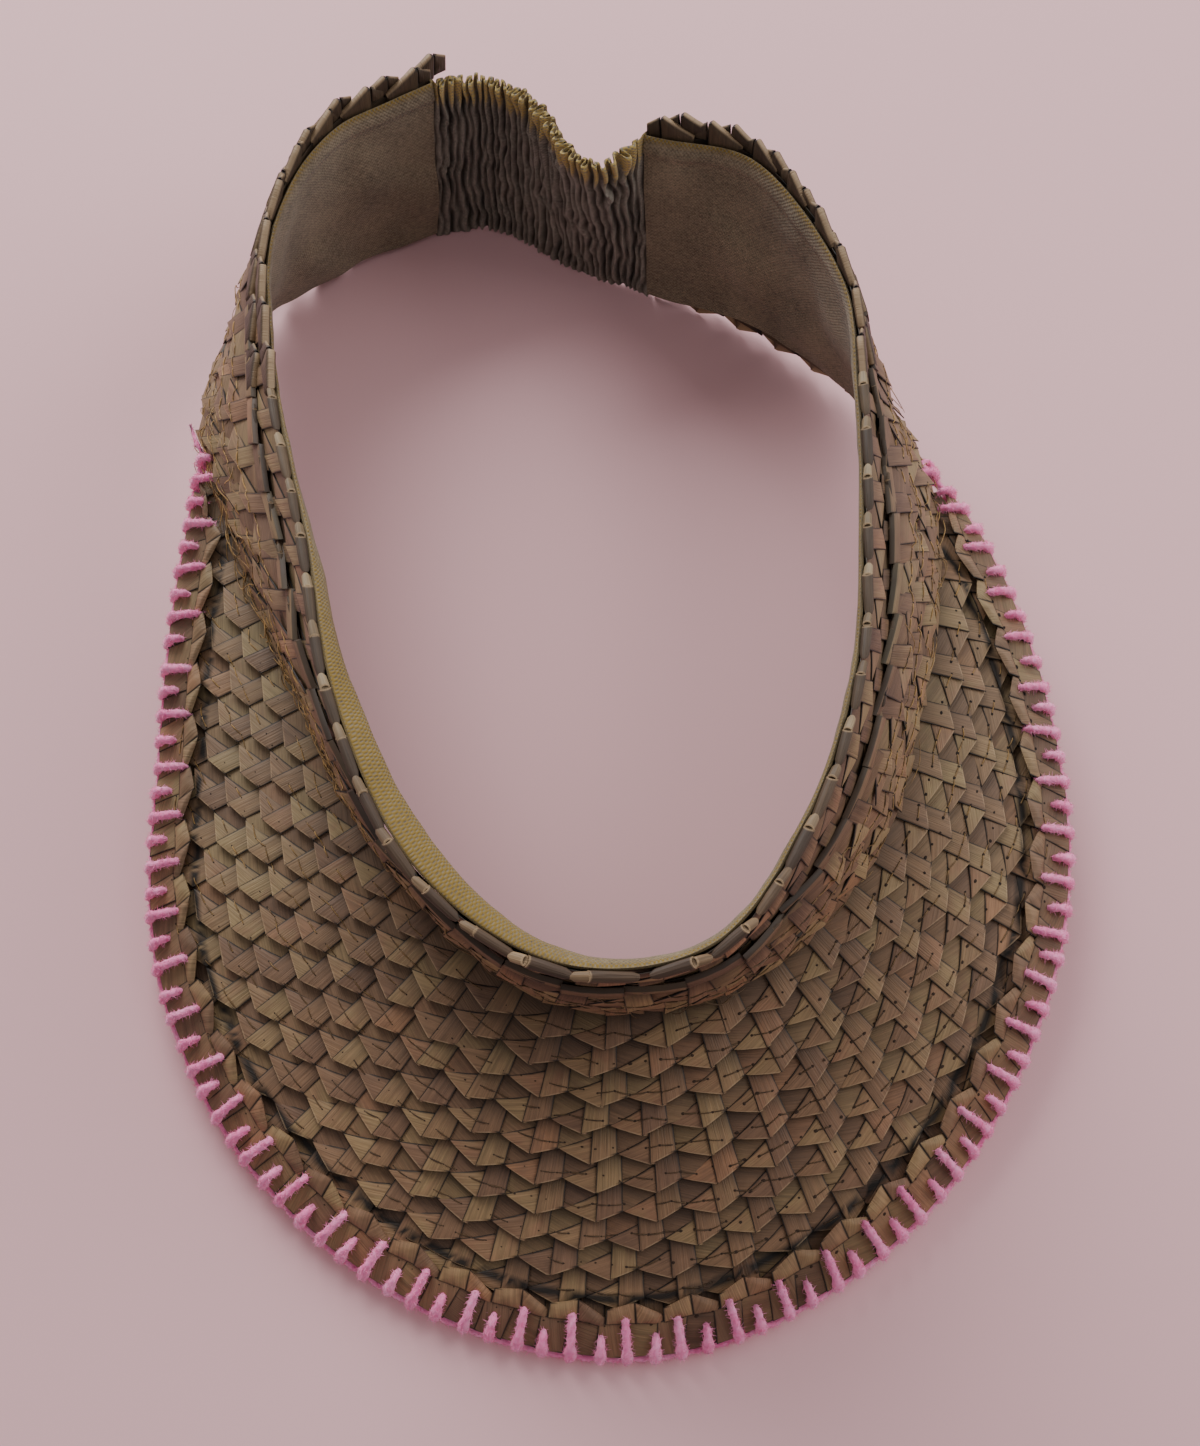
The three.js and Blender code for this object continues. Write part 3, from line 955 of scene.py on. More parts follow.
@dataclass(frozen=True)
class Strip:
    """One visible cell of the plait: a stretch of leaf strip between two crossings.

    Corners are in millimetres along and across the braid. Edges give the look of the side that
    starts at each corner, from 0 for a crack darkened with painted shade to 1 for a pale cut edge with a
    painted highlight.
    """

    name: str
    corners: tuple[tuple[float, float], ...]
    edges: tuple[float, ...]
    height: float
    fibre: float
    shade: float = 1.0
    wall: float = 0.32
    tilt: tuple[float, float] = (0.0, 0.0)
    crown: float = 0.06
    parts: int = 3
    inset: float = 0.5
    drop: float = 0.12
    shaded_to: float = -99.0
    shaded_over: float = 4.0

    @property
    def centre(self) -> tuple[float, float]:
        """Middle of the corners."""
        middle = np.mean(np.array(self.corners), axis=0)
        return float(middle[0]), float(middle[1])

    def build(self) -> bpy.types.Object:
        """The cell as a closed tile round its own centre, with rounded upper edges.

        Returns:
            The tile.
        """
        corners = np.array(self.corners) - np.array(self.centre)
        count = len(corners)
        rim, side = [], []
        for i in range(count):
            for k in range(self.parts):
                t = k / self.parts
                rim.append(corners[i] * (1 - t) + corners[(i + 1) % count] * t)
                before = self.edges[i - 1] if k == 0 else self.edges[i]
                side.append(min(before, self.edges[i]))
        rim = np.array(rim)
        rings = len(rim)
        size = np.linalg.norm(rim, axis=1, keepdims=True)
        inner = rim * np.maximum(1 - self.inset / size, 0.3)
        core = rim * 0.45
        level = self.height + rim @ np.array(self.tilt)
        level_inner = self.height + inner @ np.array(self.tilt)
        level_core = self.height + core @ np.array(self.tilt) + self.crown
        points = np.concatenate(
            [
                np.column_stack([rim, level - self.wall]),
                np.column_stack([rim, level - self.drop]),
                np.column_stack([inner, level_inner]),
                np.column_stack([core, level_core]),
                [[0, 0, self.height + self.crown], [0, 0, self.height - self.wall]],
            ]
        )
        faces = [face for ring in range(3) for face in band_faces(ring * rings, (ring + 1) * rings, rings)]
        faces += cap_faces(3 * rings, 4 * rings, rings) + cap_faces(0, 4 * rings + 1, rings, back=True)
        turn = math.radians(self.fibre)
        spin = np.array([[math.cos(turn), -math.sin(turn)], [math.sin(turn), math.cos(turn)]])
        mesh = mesh_from(self.name, points, faces, points[:, :2] @ spin)
        edge = np.concatenate([side, side, np.full(2 * rings + 2, 0.5)])
        set_numbers(mesh, "edge", edge)
        depth = (points[:, 1] + self.centre[1] - self.shaded_to) / self.shaded_over
        set_numbers(mesh, "shade", self.shade * (0.12 + 0.88 * np.clip(depth, 0, 1)))
        finish_shape(mesh, 60)
        return new_object(self.name, mesh)


def plait_strips(width: float, lapped: bool) -> tuple[Strip, ...]:
    """The cells of one repeat of the plait: crossing strip, dipping strip and folded point.

    Args:
        width: Width of the braid.
        lapped: Whether the braid's near edge lies under the row before, where it is folded thicker.

    Returns:
        The cells, for a repeat that starts at the crossing strip.
    """
    w = width
    return (
        Strip(
            "crossing_strip",
            ((0.0, -0.2), (5.4, -0.2), (5.45, w - 1.4), (0.0, w + 0.85)),
            (0.25, 0.0, 1.0, 0.0),
            height=1.0,
            fibre=90,
            tilt=(-0.02, 0.035),
            shaded_to=w - 6.6,
        ),
        Strip(
            "dipping_strip",
            ((4.5, -0.1), (17.0, -0.1), (16.9, w - 2.0), (4.5, w - 1.2)),
            (0.2, 0.2, 0.2, 0.0),
            height=0.32,
            fibre=20,
            shade=0.72,
            tilt=(-0.03, 0.02),
            shaded_to=w - 6.6,
        ),
        Strip(
            "folded_point",
            ((5.45, w - 1.3), (12.1, w - 4.5), (13.2, w - 4.5), (13.2, w + 0.85), (12.1, w + 0.9)),
            (0.0, 0.1, 0.2, 1.0, 1.0),
            height=0.76,
            fibre=-20,
            tilt=(0.0, 0.05),
            shaded_to=w - 6.0,
            shaded_over=3.0,
        ),
        Strip(
            "folded_edge",
            ((0.0, -0.9), (12.4, -0.9), (12.4, 1.3), (0.0, 1.3)),
            (0.2, 0.2, 0.2, 0.2),
            height=1.26,
            fibre=0,
            shade=0.5,
            wall=1.2,
            crown=0.0,
        ),
    )[: 4 if lapped else 3]


def rim_strips(width: float) -> tuple[Strip, ...]:
    """The cells of one repeat of the rim braid, whose scalloped edge points at the head.

    Args:
        width: Width of the braid.

    Returns:
        The cells of one scallop, seen from its nearly straight side.
    """
    w = width
    return (
        Strip(
            "scallop_front",
            ((0.1, 1.6), (6.3, -0.2), (6.6, 4.4), (0.1, 4.8)),
            (0.6, 0.05, 0.1, 0.0),
            height=1.4,
            fibre=75,
            tilt=(-0.03, -0.1),
            crown=0.45,
            shade=1.15,
        ),
        Strip(
            "scallop_back",
            ((6.3, -0.2), (12.5, 3.2), (12.5, 5.4), (6.5, 4.4)),
            (0.6, 0.1, 0.1, 0.0),
            height=1.15,
            fibre=120,
            tilt=(-0.06, -0.1),
            crown=0.45,
        ),
        Strip(
            "rim_crossing",
            ((-1.4, 4.6), (5.2, 4.2), (3.9, w + 0.2), (-1.9, w + 0.2)),
            (0.1, 0.0, 0.4, 0.0),
            height=0.95,
            fibre=80,
            shade=0.85,
            tilt=(0.0, -0.02),
        ),
        Strip(
            "rim_dipping",
            ((4.6, 4.0), (11.6, 4.8), (11.2, w + 0.1), (3.2, w + 0.1)),
            (0.1, 0.1, 0.4, 0.0),
            height=0.66,
            fibre=15,
            shade=0.6,
            tilt=(0.0, -0.02),
        ),
    )


def shape_tree(name: str, **inputs: str) -> tuple[bpy.types.GeometryNodeTree, partial, bpy.types.NodeOutputs]:
    """An empty shape tree with named inputs.

    Args:
        name: The tree's name.
        inputs: Type of each input by its name.

    Returns:
        The tree, the function that adds nodes to it and the sockets of its inputs.
    """
    tree = bpy.data.node_groups.new(name, "GeometryNodeTree")
    for label, kind in {"Geometry": "Geometry", **inputs}.items():
        tree.interface.new_socket(label, in_out="INPUT", socket_type=f"NodeSocket{kind}")
    tree.interface.new_socket("Geometry", in_out="OUTPUT", socket_type="NodeSocketGeometry")
    return tree, partial(add_node, tree), tree.nodes.new("NodeGroupInput").outputs


def end_tree(add: partial, shape: bpy.types.NodeSocket, finish: bpy.types.NodeSocket) -> None:
    """Ends a tree in one real mesh that wears its finish."""
    real = add(Kind.REALIZE, shape)
    add(Kind.RESULT, add(Kind.FINISH, real, named={"Material": finish}))


def grow(piece: bpy.types.Object, tree: bpy.types.GeometryNodeTree, inputs: dict[str, object]) -> None:
    """Runs a shape tree on a piece and keeps the result as its mesh.

    Args:
        piece: The piece that the tree works on.
        tree: The tree.
        inputs: A value for each named input.
    """
    modifier = piece.modifiers.new(tree.name, "NODES")
    modifier.node_group = tree
    for item in tree.interface.items_tree:
        if item.item_type == "SOCKET" and item.in_out == "INPUT" and item.name in inputs:
            modifier[item.identifier] = inputs[item.name]
    graph = bpy.context.evaluated_depsgraph_get()
    mesh = bpy.data.meshes.new_from_object(
        piece.evaluated_get(graph), preserve_all_data_layers=True, depsgraph=graph
    )
    piece.modifiers.clear()
    piece.data = mesh


def row_tree(strips: Sequence[Strip]) -> bpy.types.GeometryNodeTree:
    """Lays the cells of a plait side by side along a straight row.

    Args:
        strips: The cells of one repeat.

    Returns:
        The tree, which ends in one real mesh.
    """
    tree, add, given = shape_tree(
        "plaited_row",
        Count="Int",
        Repeat="Float",
        Start="Float",
        Turn="Float",
        Lift="Float",
        Seed="Int",
        Straw="Material",
    )
    joined = add(Kind.JOIN)
    turn, lift = given["Turn"], given["Lift"]
    for index, strip in enumerate(strips):
        x, y = strip.centre
        line = {
            "Count": given["Count"],
            "Start Location": add(Kind.JOIN_AXES, add(Kind.MATH, given["Start"], x, **SUM), y),
            "Offset": add(Kind.JOIN_AXES, given["Repeat"]),
        }
        seed = add(Kind.MATH, given["Seed"], 10.0, float(index), **TIMES_PLUS)
        less = add(Kind.MATH, turn, -1.0, **TIMES)
        angles = add(
            Kind.RANDOM,
            add(Kind.JOIN_AXES, less, less, less),
            add(Kind.JOIN_AXES, turn, turn, turn),
            named={"Seed": seed},
            data_type="FLOAT_VECTOR",
        )
        rises = {2: add(Kind.MATH, lift, -1.0, **TIMES), 3: lift, "Seed": add(Kind.MATH, seed, 3.0, **SUM)}
        rise = add(Kind.RANDOM, named=rises, out=1, data_type="FLOAT")
        up = add(Kind.JOIN_AXES, None, None, rise)
        laid = {
            "Points": add(Kind.MOVE, add(Kind.LINE, named=line, mode="OFFSET"), named={"Offset": up}),
            "Instance": add(Kind.SHAPE, strip.build(), out="Geometry"),
            "Rotation": angles,
        }
        tones = {2: 0.08, 3: 0.92, "Seed": add(Kind.MATH, seed, 5.0, **SUM)}
        tone = {"Name": "tone", "Value": add(Kind.RANDOM, named=tones, out=1, data_type="FLOAT")}
        copies = add(Kind.COPIES, named=laid)
        toned = add(Kind.STORE, copies, named=tone, data_type="FLOAT", domain="INSTANCE")
        connect(joined.node, {0: toned})
    end_tree(add, joined, given["Straw"])
    return tree


@dataclass
class PlaitedRow:
    """One sewn row of braid, plaited flat and then laid on the form."""

    name: str
    path: RowPath
    tree: bpy.types.GeometryNodeTree
    material: bpy.types.Material
    slot: Slot
    node: str
    seed: int
    width: float = 9.07
    repeat: float = 12.3
    turn: float = 0.035
    lift: float = 0.08

    def build(self) -> bpy.types.Object:
        """Plaits the row and lays it on the form.

        Returns:
            The finished piece.
        """
        count = max(int(round(self.path.length / self.repeat)), 1)
        repeat = self.path.length / count
        phase = -repeat * ((self.seed * 0.37) % 1.0)
        blank = mesh_from(self.name, np.zeros((1, 3)), [])
        piece = new_object(self.name, blank)
        inputs = {
            "Count": count + 2,
            "Repeat": repeat,
            "Start": phase - repeat * 0.3,
            "Turn": self.turn,
            "Lift": self.lift,
            "Seed": self.seed,
            "Straw": self.material,
        }
        grow(piece, self.tree, inputs)
        self.trim(piece.data)
        flat = read_points(piece.data).astype(float)
        # Distance from the rim braid's inner edge, which the material turns into a painted shade in the
        # crevice there.
        if self.path.lay is Lay.BRIM:
            path = self.path
            at = np.interp(flat[:, 0], path.lengths, path.at)
            inner = path.form.look(path.form.reach, at) - path.rim_width
            apart = np.abs(inner - path.form.look(path.near, at) - flat[:, 1])
            set_numbers(piece.data, "rim_near", 10 - apart)
        laid = self.path.place(flat[:, 0], flat[:, 1] / self.width, flat[:, 2])
        move_points(piece.data, laid * MM)
        return dress(piece, self.slot, self.node)

    def trim(self, mesh: bpy.types.Mesh) -> None:
        """Takes off the cells that lie past the row's ends or past the rim.

        Args:
            mesh: The flat row.
        """
        shape = bmesh.new()
        shape.from_mesh(mesh)
        shape.verts.ensure_lookup_table()
        seen: set[int] = set()
        lost = []
        for start in shape.verts:
            if start.index in seen:
                continue
            seen.add(start.index)
            island, queue = [start], [start]
            while queue:
                beside = [vert for link in queue.pop().link_edges for vert in link.verts]
                for vert in beside:
                    if vert.index not in seen:
                        seen.add(vert.index)
                        island.append(vert)
                        queue.append(vert)
            if not self.kept(np.array([v.co for v in island])):
                lost.extend(island)
        bmesh.ops.delete(shape, geom=lost, context="VERTS")
        shape.to_mesh(mesh)
        shape.free()

    def kept(self, cell: Points) -> bool:
        """Whether a flat cell lies on the row.

        Args:
            cell: The cell's points.

        Returns:
            True where it does.
        """
        path = self.path
        middle = cell.mean(0)
        if not 0.6 <= middle[0] <= path.length - 0.6:
            return False
        if path.lay is not Lay.BRIM:
            return True
        at = np.interp(middle[0], path.lengths, path.at)
        near = path.form.look(path.near, at) + middle[1] - 0.5 * np.ptp(cell[:, 1])
        return bool(near < path.form.look(path.form.reach, at) - path.form.edge_inset - 1.5)


def waves(first: Points, second: Points, size: float, seed: int) -> Points:
    """Smooth uneven waves, from about -1 to 1.

    Args:
        first: First coordinate.
        second: Second coordinate.
        size: Length of a wave.
        seed: Seed of the directions.

    Returns:
        The waves' height.
    """
    chance = np.random.default_rng(seed)
    total = np.zeros(np.broadcast(first, second).shape)
    for _ in range(7):
        angle, start = chance.uniform(0, 2 * math.pi, 2)
        turn = 2 * math.pi / (size * chance.uniform(0.7, 1.5))
        total = total + np.sin(turn * (first * math.cos(angle) + second * math.sin(angle)) + start)
    return total / 3.5


def lines_mesh(name: str, paths: Sequence[Points], radii: Sequence[Points]) -> bpy.types.Mesh:
    """A mesh of open lines with a radius at each point.

    Args:
        name: The mesh's name.
        paths: Points of each line, in millimetres.
        radii: Radius at each of them, in millimetres.

    Returns:
        The mesh, in metres.
    """
    counts = [len(p) for p in paths]
    starts = np.concatenate([[0], np.cumsum(counts)[:-1]])
    edges = [(s + i, s + i + 1) for s, n in zip(starts.tolist(), counts) for i in range(n - 1)]
    mesh = bpy.data.meshes.new(name)
    mesh.from_pydata([tuple(p) for p in np.concatenate(paths) * MM], edges, [])
    set_numbers(mesh, "thickness", np.concatenate(radii) * MM)
    return mesh


def thread_tree() -> bpy.types.GeometryNodeTree:
    """Turns lines into spun threads of two plies.

    Returns:
        The tree. Its inputs are the number of sides, the depth of the groove between the plies as a share
        of the radius, the twist in turns a metre and the finish.
    """
    inputs = {"Sides": "Int", "Groove": "Float", "Twist": "Float", "Thread": "Material"}
    tree, add, given = shape_tree("spun_thread", **inputs)
    curve = add(Kind.TO_CURVE, given["Geometry"])
    whole = add(Kind.MATH, given["Twist"], 2 * math.pi, **TIMES)
    turn = add(Kind.MATH, add(Kind.ALONG, out="Length"), whole, **TIMES)
    ring = add(Kind.CIRCLE, named={"Resolution": given["Sides"], "Radius": 1.0})
    spot = add(Kind.POSITION)
    across = add(Kind.MATH, add(Kind.SPLIT_AXES, spot), operation="ABSOLUTE")
    dent = add(Kind.MATH, add(Kind.MATH, across, -1.0, **SUM), given["Groove"], **TIMES)
    move = add(Kind.VECTOR_MATH, spot, named={"Scale": dent}, operation="SCALE")
    body = {
        "Curve": add(Kind.TILT, curve, named={"Tilt": turn}),
        "Profile Curve": add(Kind.MOVE, ring, named={"Offset": move}),
        "Scale": add(Kind.STORED, "thickness", data_type="FLOAT"),
        "Fill Caps": True,
    }
    end_tree(add, add(Kind.SWEEP, named=body), given["Thread"])
    return tree


def copies_tree(name: str, shape: bpy.types.Object) -> bpy.types.GeometryNodeTree:
    """Puts a copy of a small shape at every point, turned and sized by the points' own values.

    Args:
        name: The tree's name.
        shape: The small shape.

    Returns:
        The tree, with the finish as its input.
    """
    tree, add, given = shape_tree(name, Finish="Material")
    turn, size = (add(Kind.STORED, label, data_type="FLOAT_VECTOR") for label in ("turn", "size"))
    laid = {
        "Points": given["Geometry"],
        "Instance": add(Kind.SHAPE, shape, out="Geometry"),
        "Rotation": turn,
        "Scale": size,
    }
    end_tree(add, add(Kind.COPIES, named=laid), given["Finish"])
    return tree


def fuzz_tree(hair: bpy.types.Object) -> bpy.types.GeometryNodeTree:
    """Raises short hairs all over a surface.

    Args:
        hair: One hair, standing on the origin.

    Returns:
        The tree. Its inputs are the hairs for each square metre, the most that a hair leans and the finish.
    """
    tree, add, given = shape_tree("brushed_hairs", Density="Float", Lean="Float", Seed="Int", Yarn="Material")
    body, lean, seed = given["Geometry"], given["Lean"], given["Seed"]
    spots = add(Kind.SCATTER, named={"Mesh": body, "Density": given["Density"], "Seed": seed}).node.outputs
    rooted = {
        "Points": spots["Points"],
        "Instance": add(Kind.SHAPE, hair, out="Geometry"),
        "Rotation": spots["Rotation"],
    }
    less = add(Kind.MATH, lean, -1.0, **TIMES)
    angle = add(
        Kind.RANDOM,
        add(Kind.JOIN_AXES, less, less, less),
        add(Kind.JOIN_AXES, lean, lean, lean),
        named={"Seed": seed},
        data_type="FLOAT_VECTOR",
    )
    leaning = add(Kind.TURN_COPIES, add(Kind.COPIES, named=rooted), named={"Rotation": angle})
    length = add(Kind.RANDOM, named={2: 0.35, 3: 1.25, "Seed": seed}, out=1, data_type="FLOAT")
    hairs = add(Kind.SIZE_COPIES, leaning, named={"Scale": add(Kind.JOIN_AXES, 1.0, 1.0, length)})
    joined = add(Kind.JOIN)
    for part in (body, hairs):
        connect(joined.node, {0: part})
    end_tree(add, joined, given["Yarn"])
    return tree


@dataclass
class Thread:
    """How a group of threads is spun."""

    tree: bpy.types.GeometryNodeTree
    material: bpy.types.Material
    sides: int = 5
    groove: float = 0.0
    twist: float = 0.0

    def spin(self, name: str, paths: Sequence[Points], radii: Sequence[Points]) -> bpy.types.Object:
        """Spins lines into threads.

        Args:
            name: Name of the piece.
            paths: Points of each thread, in millimetres.
            radii: Radius at each of them, in millimetres.

        Returns:
            The piece.
        """
        piece = new_object(name, lines_mesh(name, paths, radii))
        inputs = {
            "Sides": self.sides,
            "Groove": self.groove,
            "Twist": self.twist,
            "Thread": self.material,
        }
        grow(piece, self.tree, inputs)
        piece.data.shade_smooth()
        return piece


@dataclass
class YarnEdging:
    """Yarn in blanket stitch round the rim: an edge strand and bars that are long and short by turns."""

    form: Form
    thread: Thread
    fuzz: bpy.types.GeometryNodeTree
    radius: float = 1.05
    spacing: float = 5.9
    long_bar: float = 8.1
    short_bar: float = 4.2
    lean: Table = field(
        default_factory=lambda: Table(
            ("at", "slant"), ((3, -0.45), (5, -0.4), (6.5, -0.15), (7.5, 0.0), (9, 0.25), (12, 0.27))
        )
    )
    seed: int = 5
    hairs: float = 2.4e6
    hair_lean: float = 1.4
    lowest: float = 0.05
    bar_sizes: tuple[float, ...] = (1.32, 1.42, 1.28, 1.1, 1.0, 0.96, 0.88, 0.65)
    tail_sizes: tuple[float, ...] = (0.9, 0.75, 0.6, 0.35)
    knot_points: int = 22
    tail: tuple[tuple[float, float, float], ...] = (
        (0.0, 0.0, 0.0),
        (-1.8, 2.6, 1.2),
        (-2.6, 5.4, 0.6),
        (-3.4, 8.2, 1.6),
    )

    def build(self) -> bpy.types.Object:
        """Spins the strand, the bars, the knot and the tail into one piece.

        Returns:
            The finished piece.
        """
        form = self.form
        chance = np.random.default_rng(self.seed)
        at = form.at[form.reach > 0.4]
        rim = form.on_brim(at, form.look(form.reach, at), 0)
        run = run_along(rim)
        count = int(run[-1] / self.spacing)
        feet = (np.arange(count) + 0.5) * run[-1] / count + chance.uniform(-0.5, 0.5, count)
        paths, radii = [self.strand(run, at, feet, chance)], []
        radii.append(np.full(len(paths[0]), self.radius) * chance.uniform(0.92, 1.1, len(paths[0])))
        for k, foot in enumerate(feet):
            length = (self.long_bar if k % 2 else self.short_bar) * chance.uniform(0.92, 1.08)
            slant = float(self.lean.read("slant", np.interp(foot, run, at))) + chance.uniform(-0.1, 0.1)
            paths.append(self.bar(run, at, foot, length, slant))
            radii.append(self.radius * chance.uniform(1.0, 1.12) * np.array(self.bar_sizes))
        ends = (paths[0][0], paths[0][-1])
        paths.append(ends[0] + np.array(self.tail))
        radii.append(self.radius * np.array(self.tail_sizes))
        turn = np.linspace(0, 3.4 * math.pi, self.knot_points)
        knot = np.stack([1.3 * np.cos(turn), 1.3 * np.sin(turn), 0.35 * turn - 1.2], axis=1)
        paths.append(ends[1] + knot + np.array([-0.5, 0.8, 1.0]))
        radii.append(np.full(self.knot_points, self.radius * 0.8))
        piece = self.thread.spin("yarn_blanket_stitch", paths, radii)
        brushed = {"Density": self.hairs, "Lean": self.hair_lean, "Seed": 3, "Yarn": self.thread.material}
        grow(piece, self.fuzz, brushed)
        # The yarn is pressed flat where the visor rests on it
        points = read_points(piece.data)
        points[:, 2] = np.maximum(points[:, 2], self.lowest * MM)
        move_points(piece.data, points)
        return dress(piece, Slot.YARN, "yarn_edging")

    def strand(self, run: Points, at: Points, feet: Points, chance: np.random.Generator) -> Points:
        """Centre line of the edge strand, pulled in where each bar holds it.

        Args:
            run: Length along the rim at each place.
            at: The places.
            feet: Length along the rim of each bar's foot.
            chance: Source of unevenness.

        Returns:
            The line's points.
        """
        form = self.form
        spots = np.arange(0.4, run[-1] - 0.3, 1.05)
        near = np.min(np.abs(spots[:, None] - feet[None, :]), axis=1)
        slack = np.clip(near / (self.spacing / 2), 0, 1) ** 0.8
        place = np.interp(spots, run, at)
        centre = form.on_brim(place, form.look(form.reach, place) + form.gap, 0)
        level = form.look(form.level, place)
        out = self.radius * 0.35 + 0.6 * slack + chance.uniform(-0.08, 0.08, len(spots))
        drop = 0.5 - 0.7 * slack + chance.uniform(-0.1, 0.1, len(spots))
        line = centre + level * out[:, None] + UP * drop[:, None]
        line[:, 2] = np.maximum(line[:, 2], self.radius * 0.85)
        return line

    def bar(self, run: Points, at: Points, foot: float, length: float, slant: float) -> Points:
        """Centre line of one bar, from the strand over the rim and down into its hole.

        Args:
            run: Length along the rim at each place.
            at: The places.
            foot: Length along the rim of the bar's foot.
            length: How far the bar reaches in from the rim.
            slant: How far it leans along the rim for each unit of that.

        Returns:
            The line's points.
        """
        form = self.form
        away = np.array([-0.7, -0.7, 0.1, 1.1, 0.4 * length, 0.7 * length, length - 0.5, length + 0.1])
        over = np.array([-0.2, 1.6, 3.0, 3.95, 4.2, 4.15, 3.75, 2.5])
        spot = np.clip(foot - slant * np.maximum(away, 0), 0, run[-1])
        place = np.interp(spot, run, at)
        line = form.on_brim(place, form.look(form.reach, place) - away, over)
        line[:, 2] = np.maximum(line[:, 2], self.radius * 0.8)
        return line


def wall_mesh(name: str, rings: Points, uv: Points) -> bpy.types.Mesh:
    """A closed wall swept through rings of points, with capped ends.

    Args:
        name: The mesh's name.
        rings: Points, by ring and by place round the ring, in millimetres.
        uv: Flat place of each point in millimetres.

    Returns:
        The mesh, in metres.
    """
    count, size = rings.shape[:2]
    number = np.arange(count * size).reshape(count, size)
    a, b = number[:-1], number[1:]
    faces = np.stack([a, b, np.roll(b, -1, 1), np.roll(a, -1, 1)], axis=-1).reshape(-1, 4).tolist()
    for ring in (number[0].tolist(), number[-1].tolist()):
        faces += [[ring[i], ring[i + 1], ring[-2 - i], ring[-1 - i]] for i in range(size // 2 - 1)]
    mesh = mesh_from(name, rings.reshape(-1, 3) * MM, faces, uv.reshape(-1, 2), "cloth")
    finish_shape(mesh, 75)
    return mesh


@dataclass
class Lining:
    """Cotton inside the band, with a folded hem that stands away from the straw where it is slack."""

    form: Form
    material: bpy.types.Material
    gap: float = 0.6
    cloth: float = 1.0
    hem: float = 4.0
    hem_proud: float = 0.5
    hem_slack: float = 4.5
    slack_depth: float = 24.0
    short: float = 1.0
    bared: float = 3.0
    step: float = 1.6
    hem_front: tuple[tuple[float, float, float, float], ...] = (
        (-0.5, 0.0, 0.4, 1),
        (-0.2, 0.12, 0.8, 1),
        (0.5, 0.42, 1.0, 1),
        (1.5, 0.75, 1.25, 1),
        (2.6, 0.9, 1.45, 1),
        (3.7, 0.85, 1.5, 1),
        (4.2, 0.83, 1.35, 1),
        (4.5, 0.81, 1.0, 1),
    )
    hem_back: tuple[tuple[float, float, float, float], ...] = (
        (3.0, 0.8, 0.2, 0),
        (1.9, 0.5, 0.2, 0),
        (0.9, 0.15, 0.1, 0),
        (0.0, 0.0, 0.0, 0),
    )

    def wall_front(self, foot: float) -> list[tuple[float, float, float, float]]:
        """Inner face under the hem: depth, share of the slack, thickness and side."""
        return [(v, max(1 - v / self.slack_depth, 0), self.cloth, 1) for v in np.linspace(6, foot, 22)]

    def wall_back(self, foot: float) -> list[tuple[float, float, float, float]]:
        """Outer face up to the hem: depth, share of the slack, thickness and side."""
        return [(v, max(1 - v / self.slack_depth, 0), 0.0, 0) for v in np.linspace(foot, 5, 15)]

    @property
    def face(self) -> float:
        """Where the lining's outer face lies behind the wall's mean surface."""
        return -(self.form.gap + self.form.braid) - self.gap

    def build(self) -> bpy.types.Object:
        """Sews the lining.

        Returns:
            The finished piece.
        """
        form = self.form
        line = form.on_band(form.at, 25.0, self.face)
        run = run_along(line)
        length = float(run[-1])
        spots = np.linspace(0, length, int(length / self.step))
        at = np.interp(spots, run, form.at)
        foot = form.band_height - self.short
        round_hem = (*self.hem_front, *self.wall_front(foot), *self.wall_back(foot), *self.hem_back)
        below, leaning, inward, lined = (np.array(column) for column in zip(*round_hem))
        front = lined > 0.5
        u, v = np.meshgrid(spots, below, indexing="ij")
        slack = self.hem_slack * np.maximum(form.look(form.column("slack"), at), 0)[:, None]
        lean = slack * leaning[None, :]
        pucker = 0.4 * waves(u, v * 0.4, 9.0, 1) * np.exp(-np.maximum(v, 0) / 7)
        ripple = 0.9 * waves(u, v * 1.1, 30.0, 2) + 0.35 * waves(u, v, 13.0, 3)
        bulge = np.where(front[None, :], np.maximum(pucker + ripple + 0.4, 0), 0)
        bulge = bulge * np.clip(0.1 + v / 12, 0, 1)
        sag = 0.3 * waves(u, 0 * v, 17.0, 4) * np.exp(-np.maximum(v, 0) / 3)
        out = self.face - lean - inward[None, :] - bulge
        bared = self.bared * np.exp(-(((at - 13.3) / 0.9) ** 2))[:, None] * (v / foot) ** 4
        rings = form.on_band(np.broadcast_to(at[:, None], u.shape), v + np.maximum(sag, -0.2) - bared, out)
        uv = np.stack([u, np.where(front[None, :], v, 2 * foot - v)], axis=-1)
        mesh = wall_mesh("lining_cloth", rings, uv)
        # The hem's fold line and the slack open hem take the gold tint: partly wear, partly a painted
        # highlight where the hem faces the light.
        tint = np.clip(1.2 - np.abs(v) / 0.6, 0, 1)
        open_hem = np.clip(slack / self.hem_slack * 1.4, 0, 1) * np.clip((self.hem + 1.5 - v) / 2, 0, 1)
        set_numbers(mesh, "wear", np.maximum(tint, open_hem).ravel())
        mesh.materials.append(self.material)
        piece = dress(new_object("lining_cloth", mesh), Slot.LINING, "lining")
        return piece


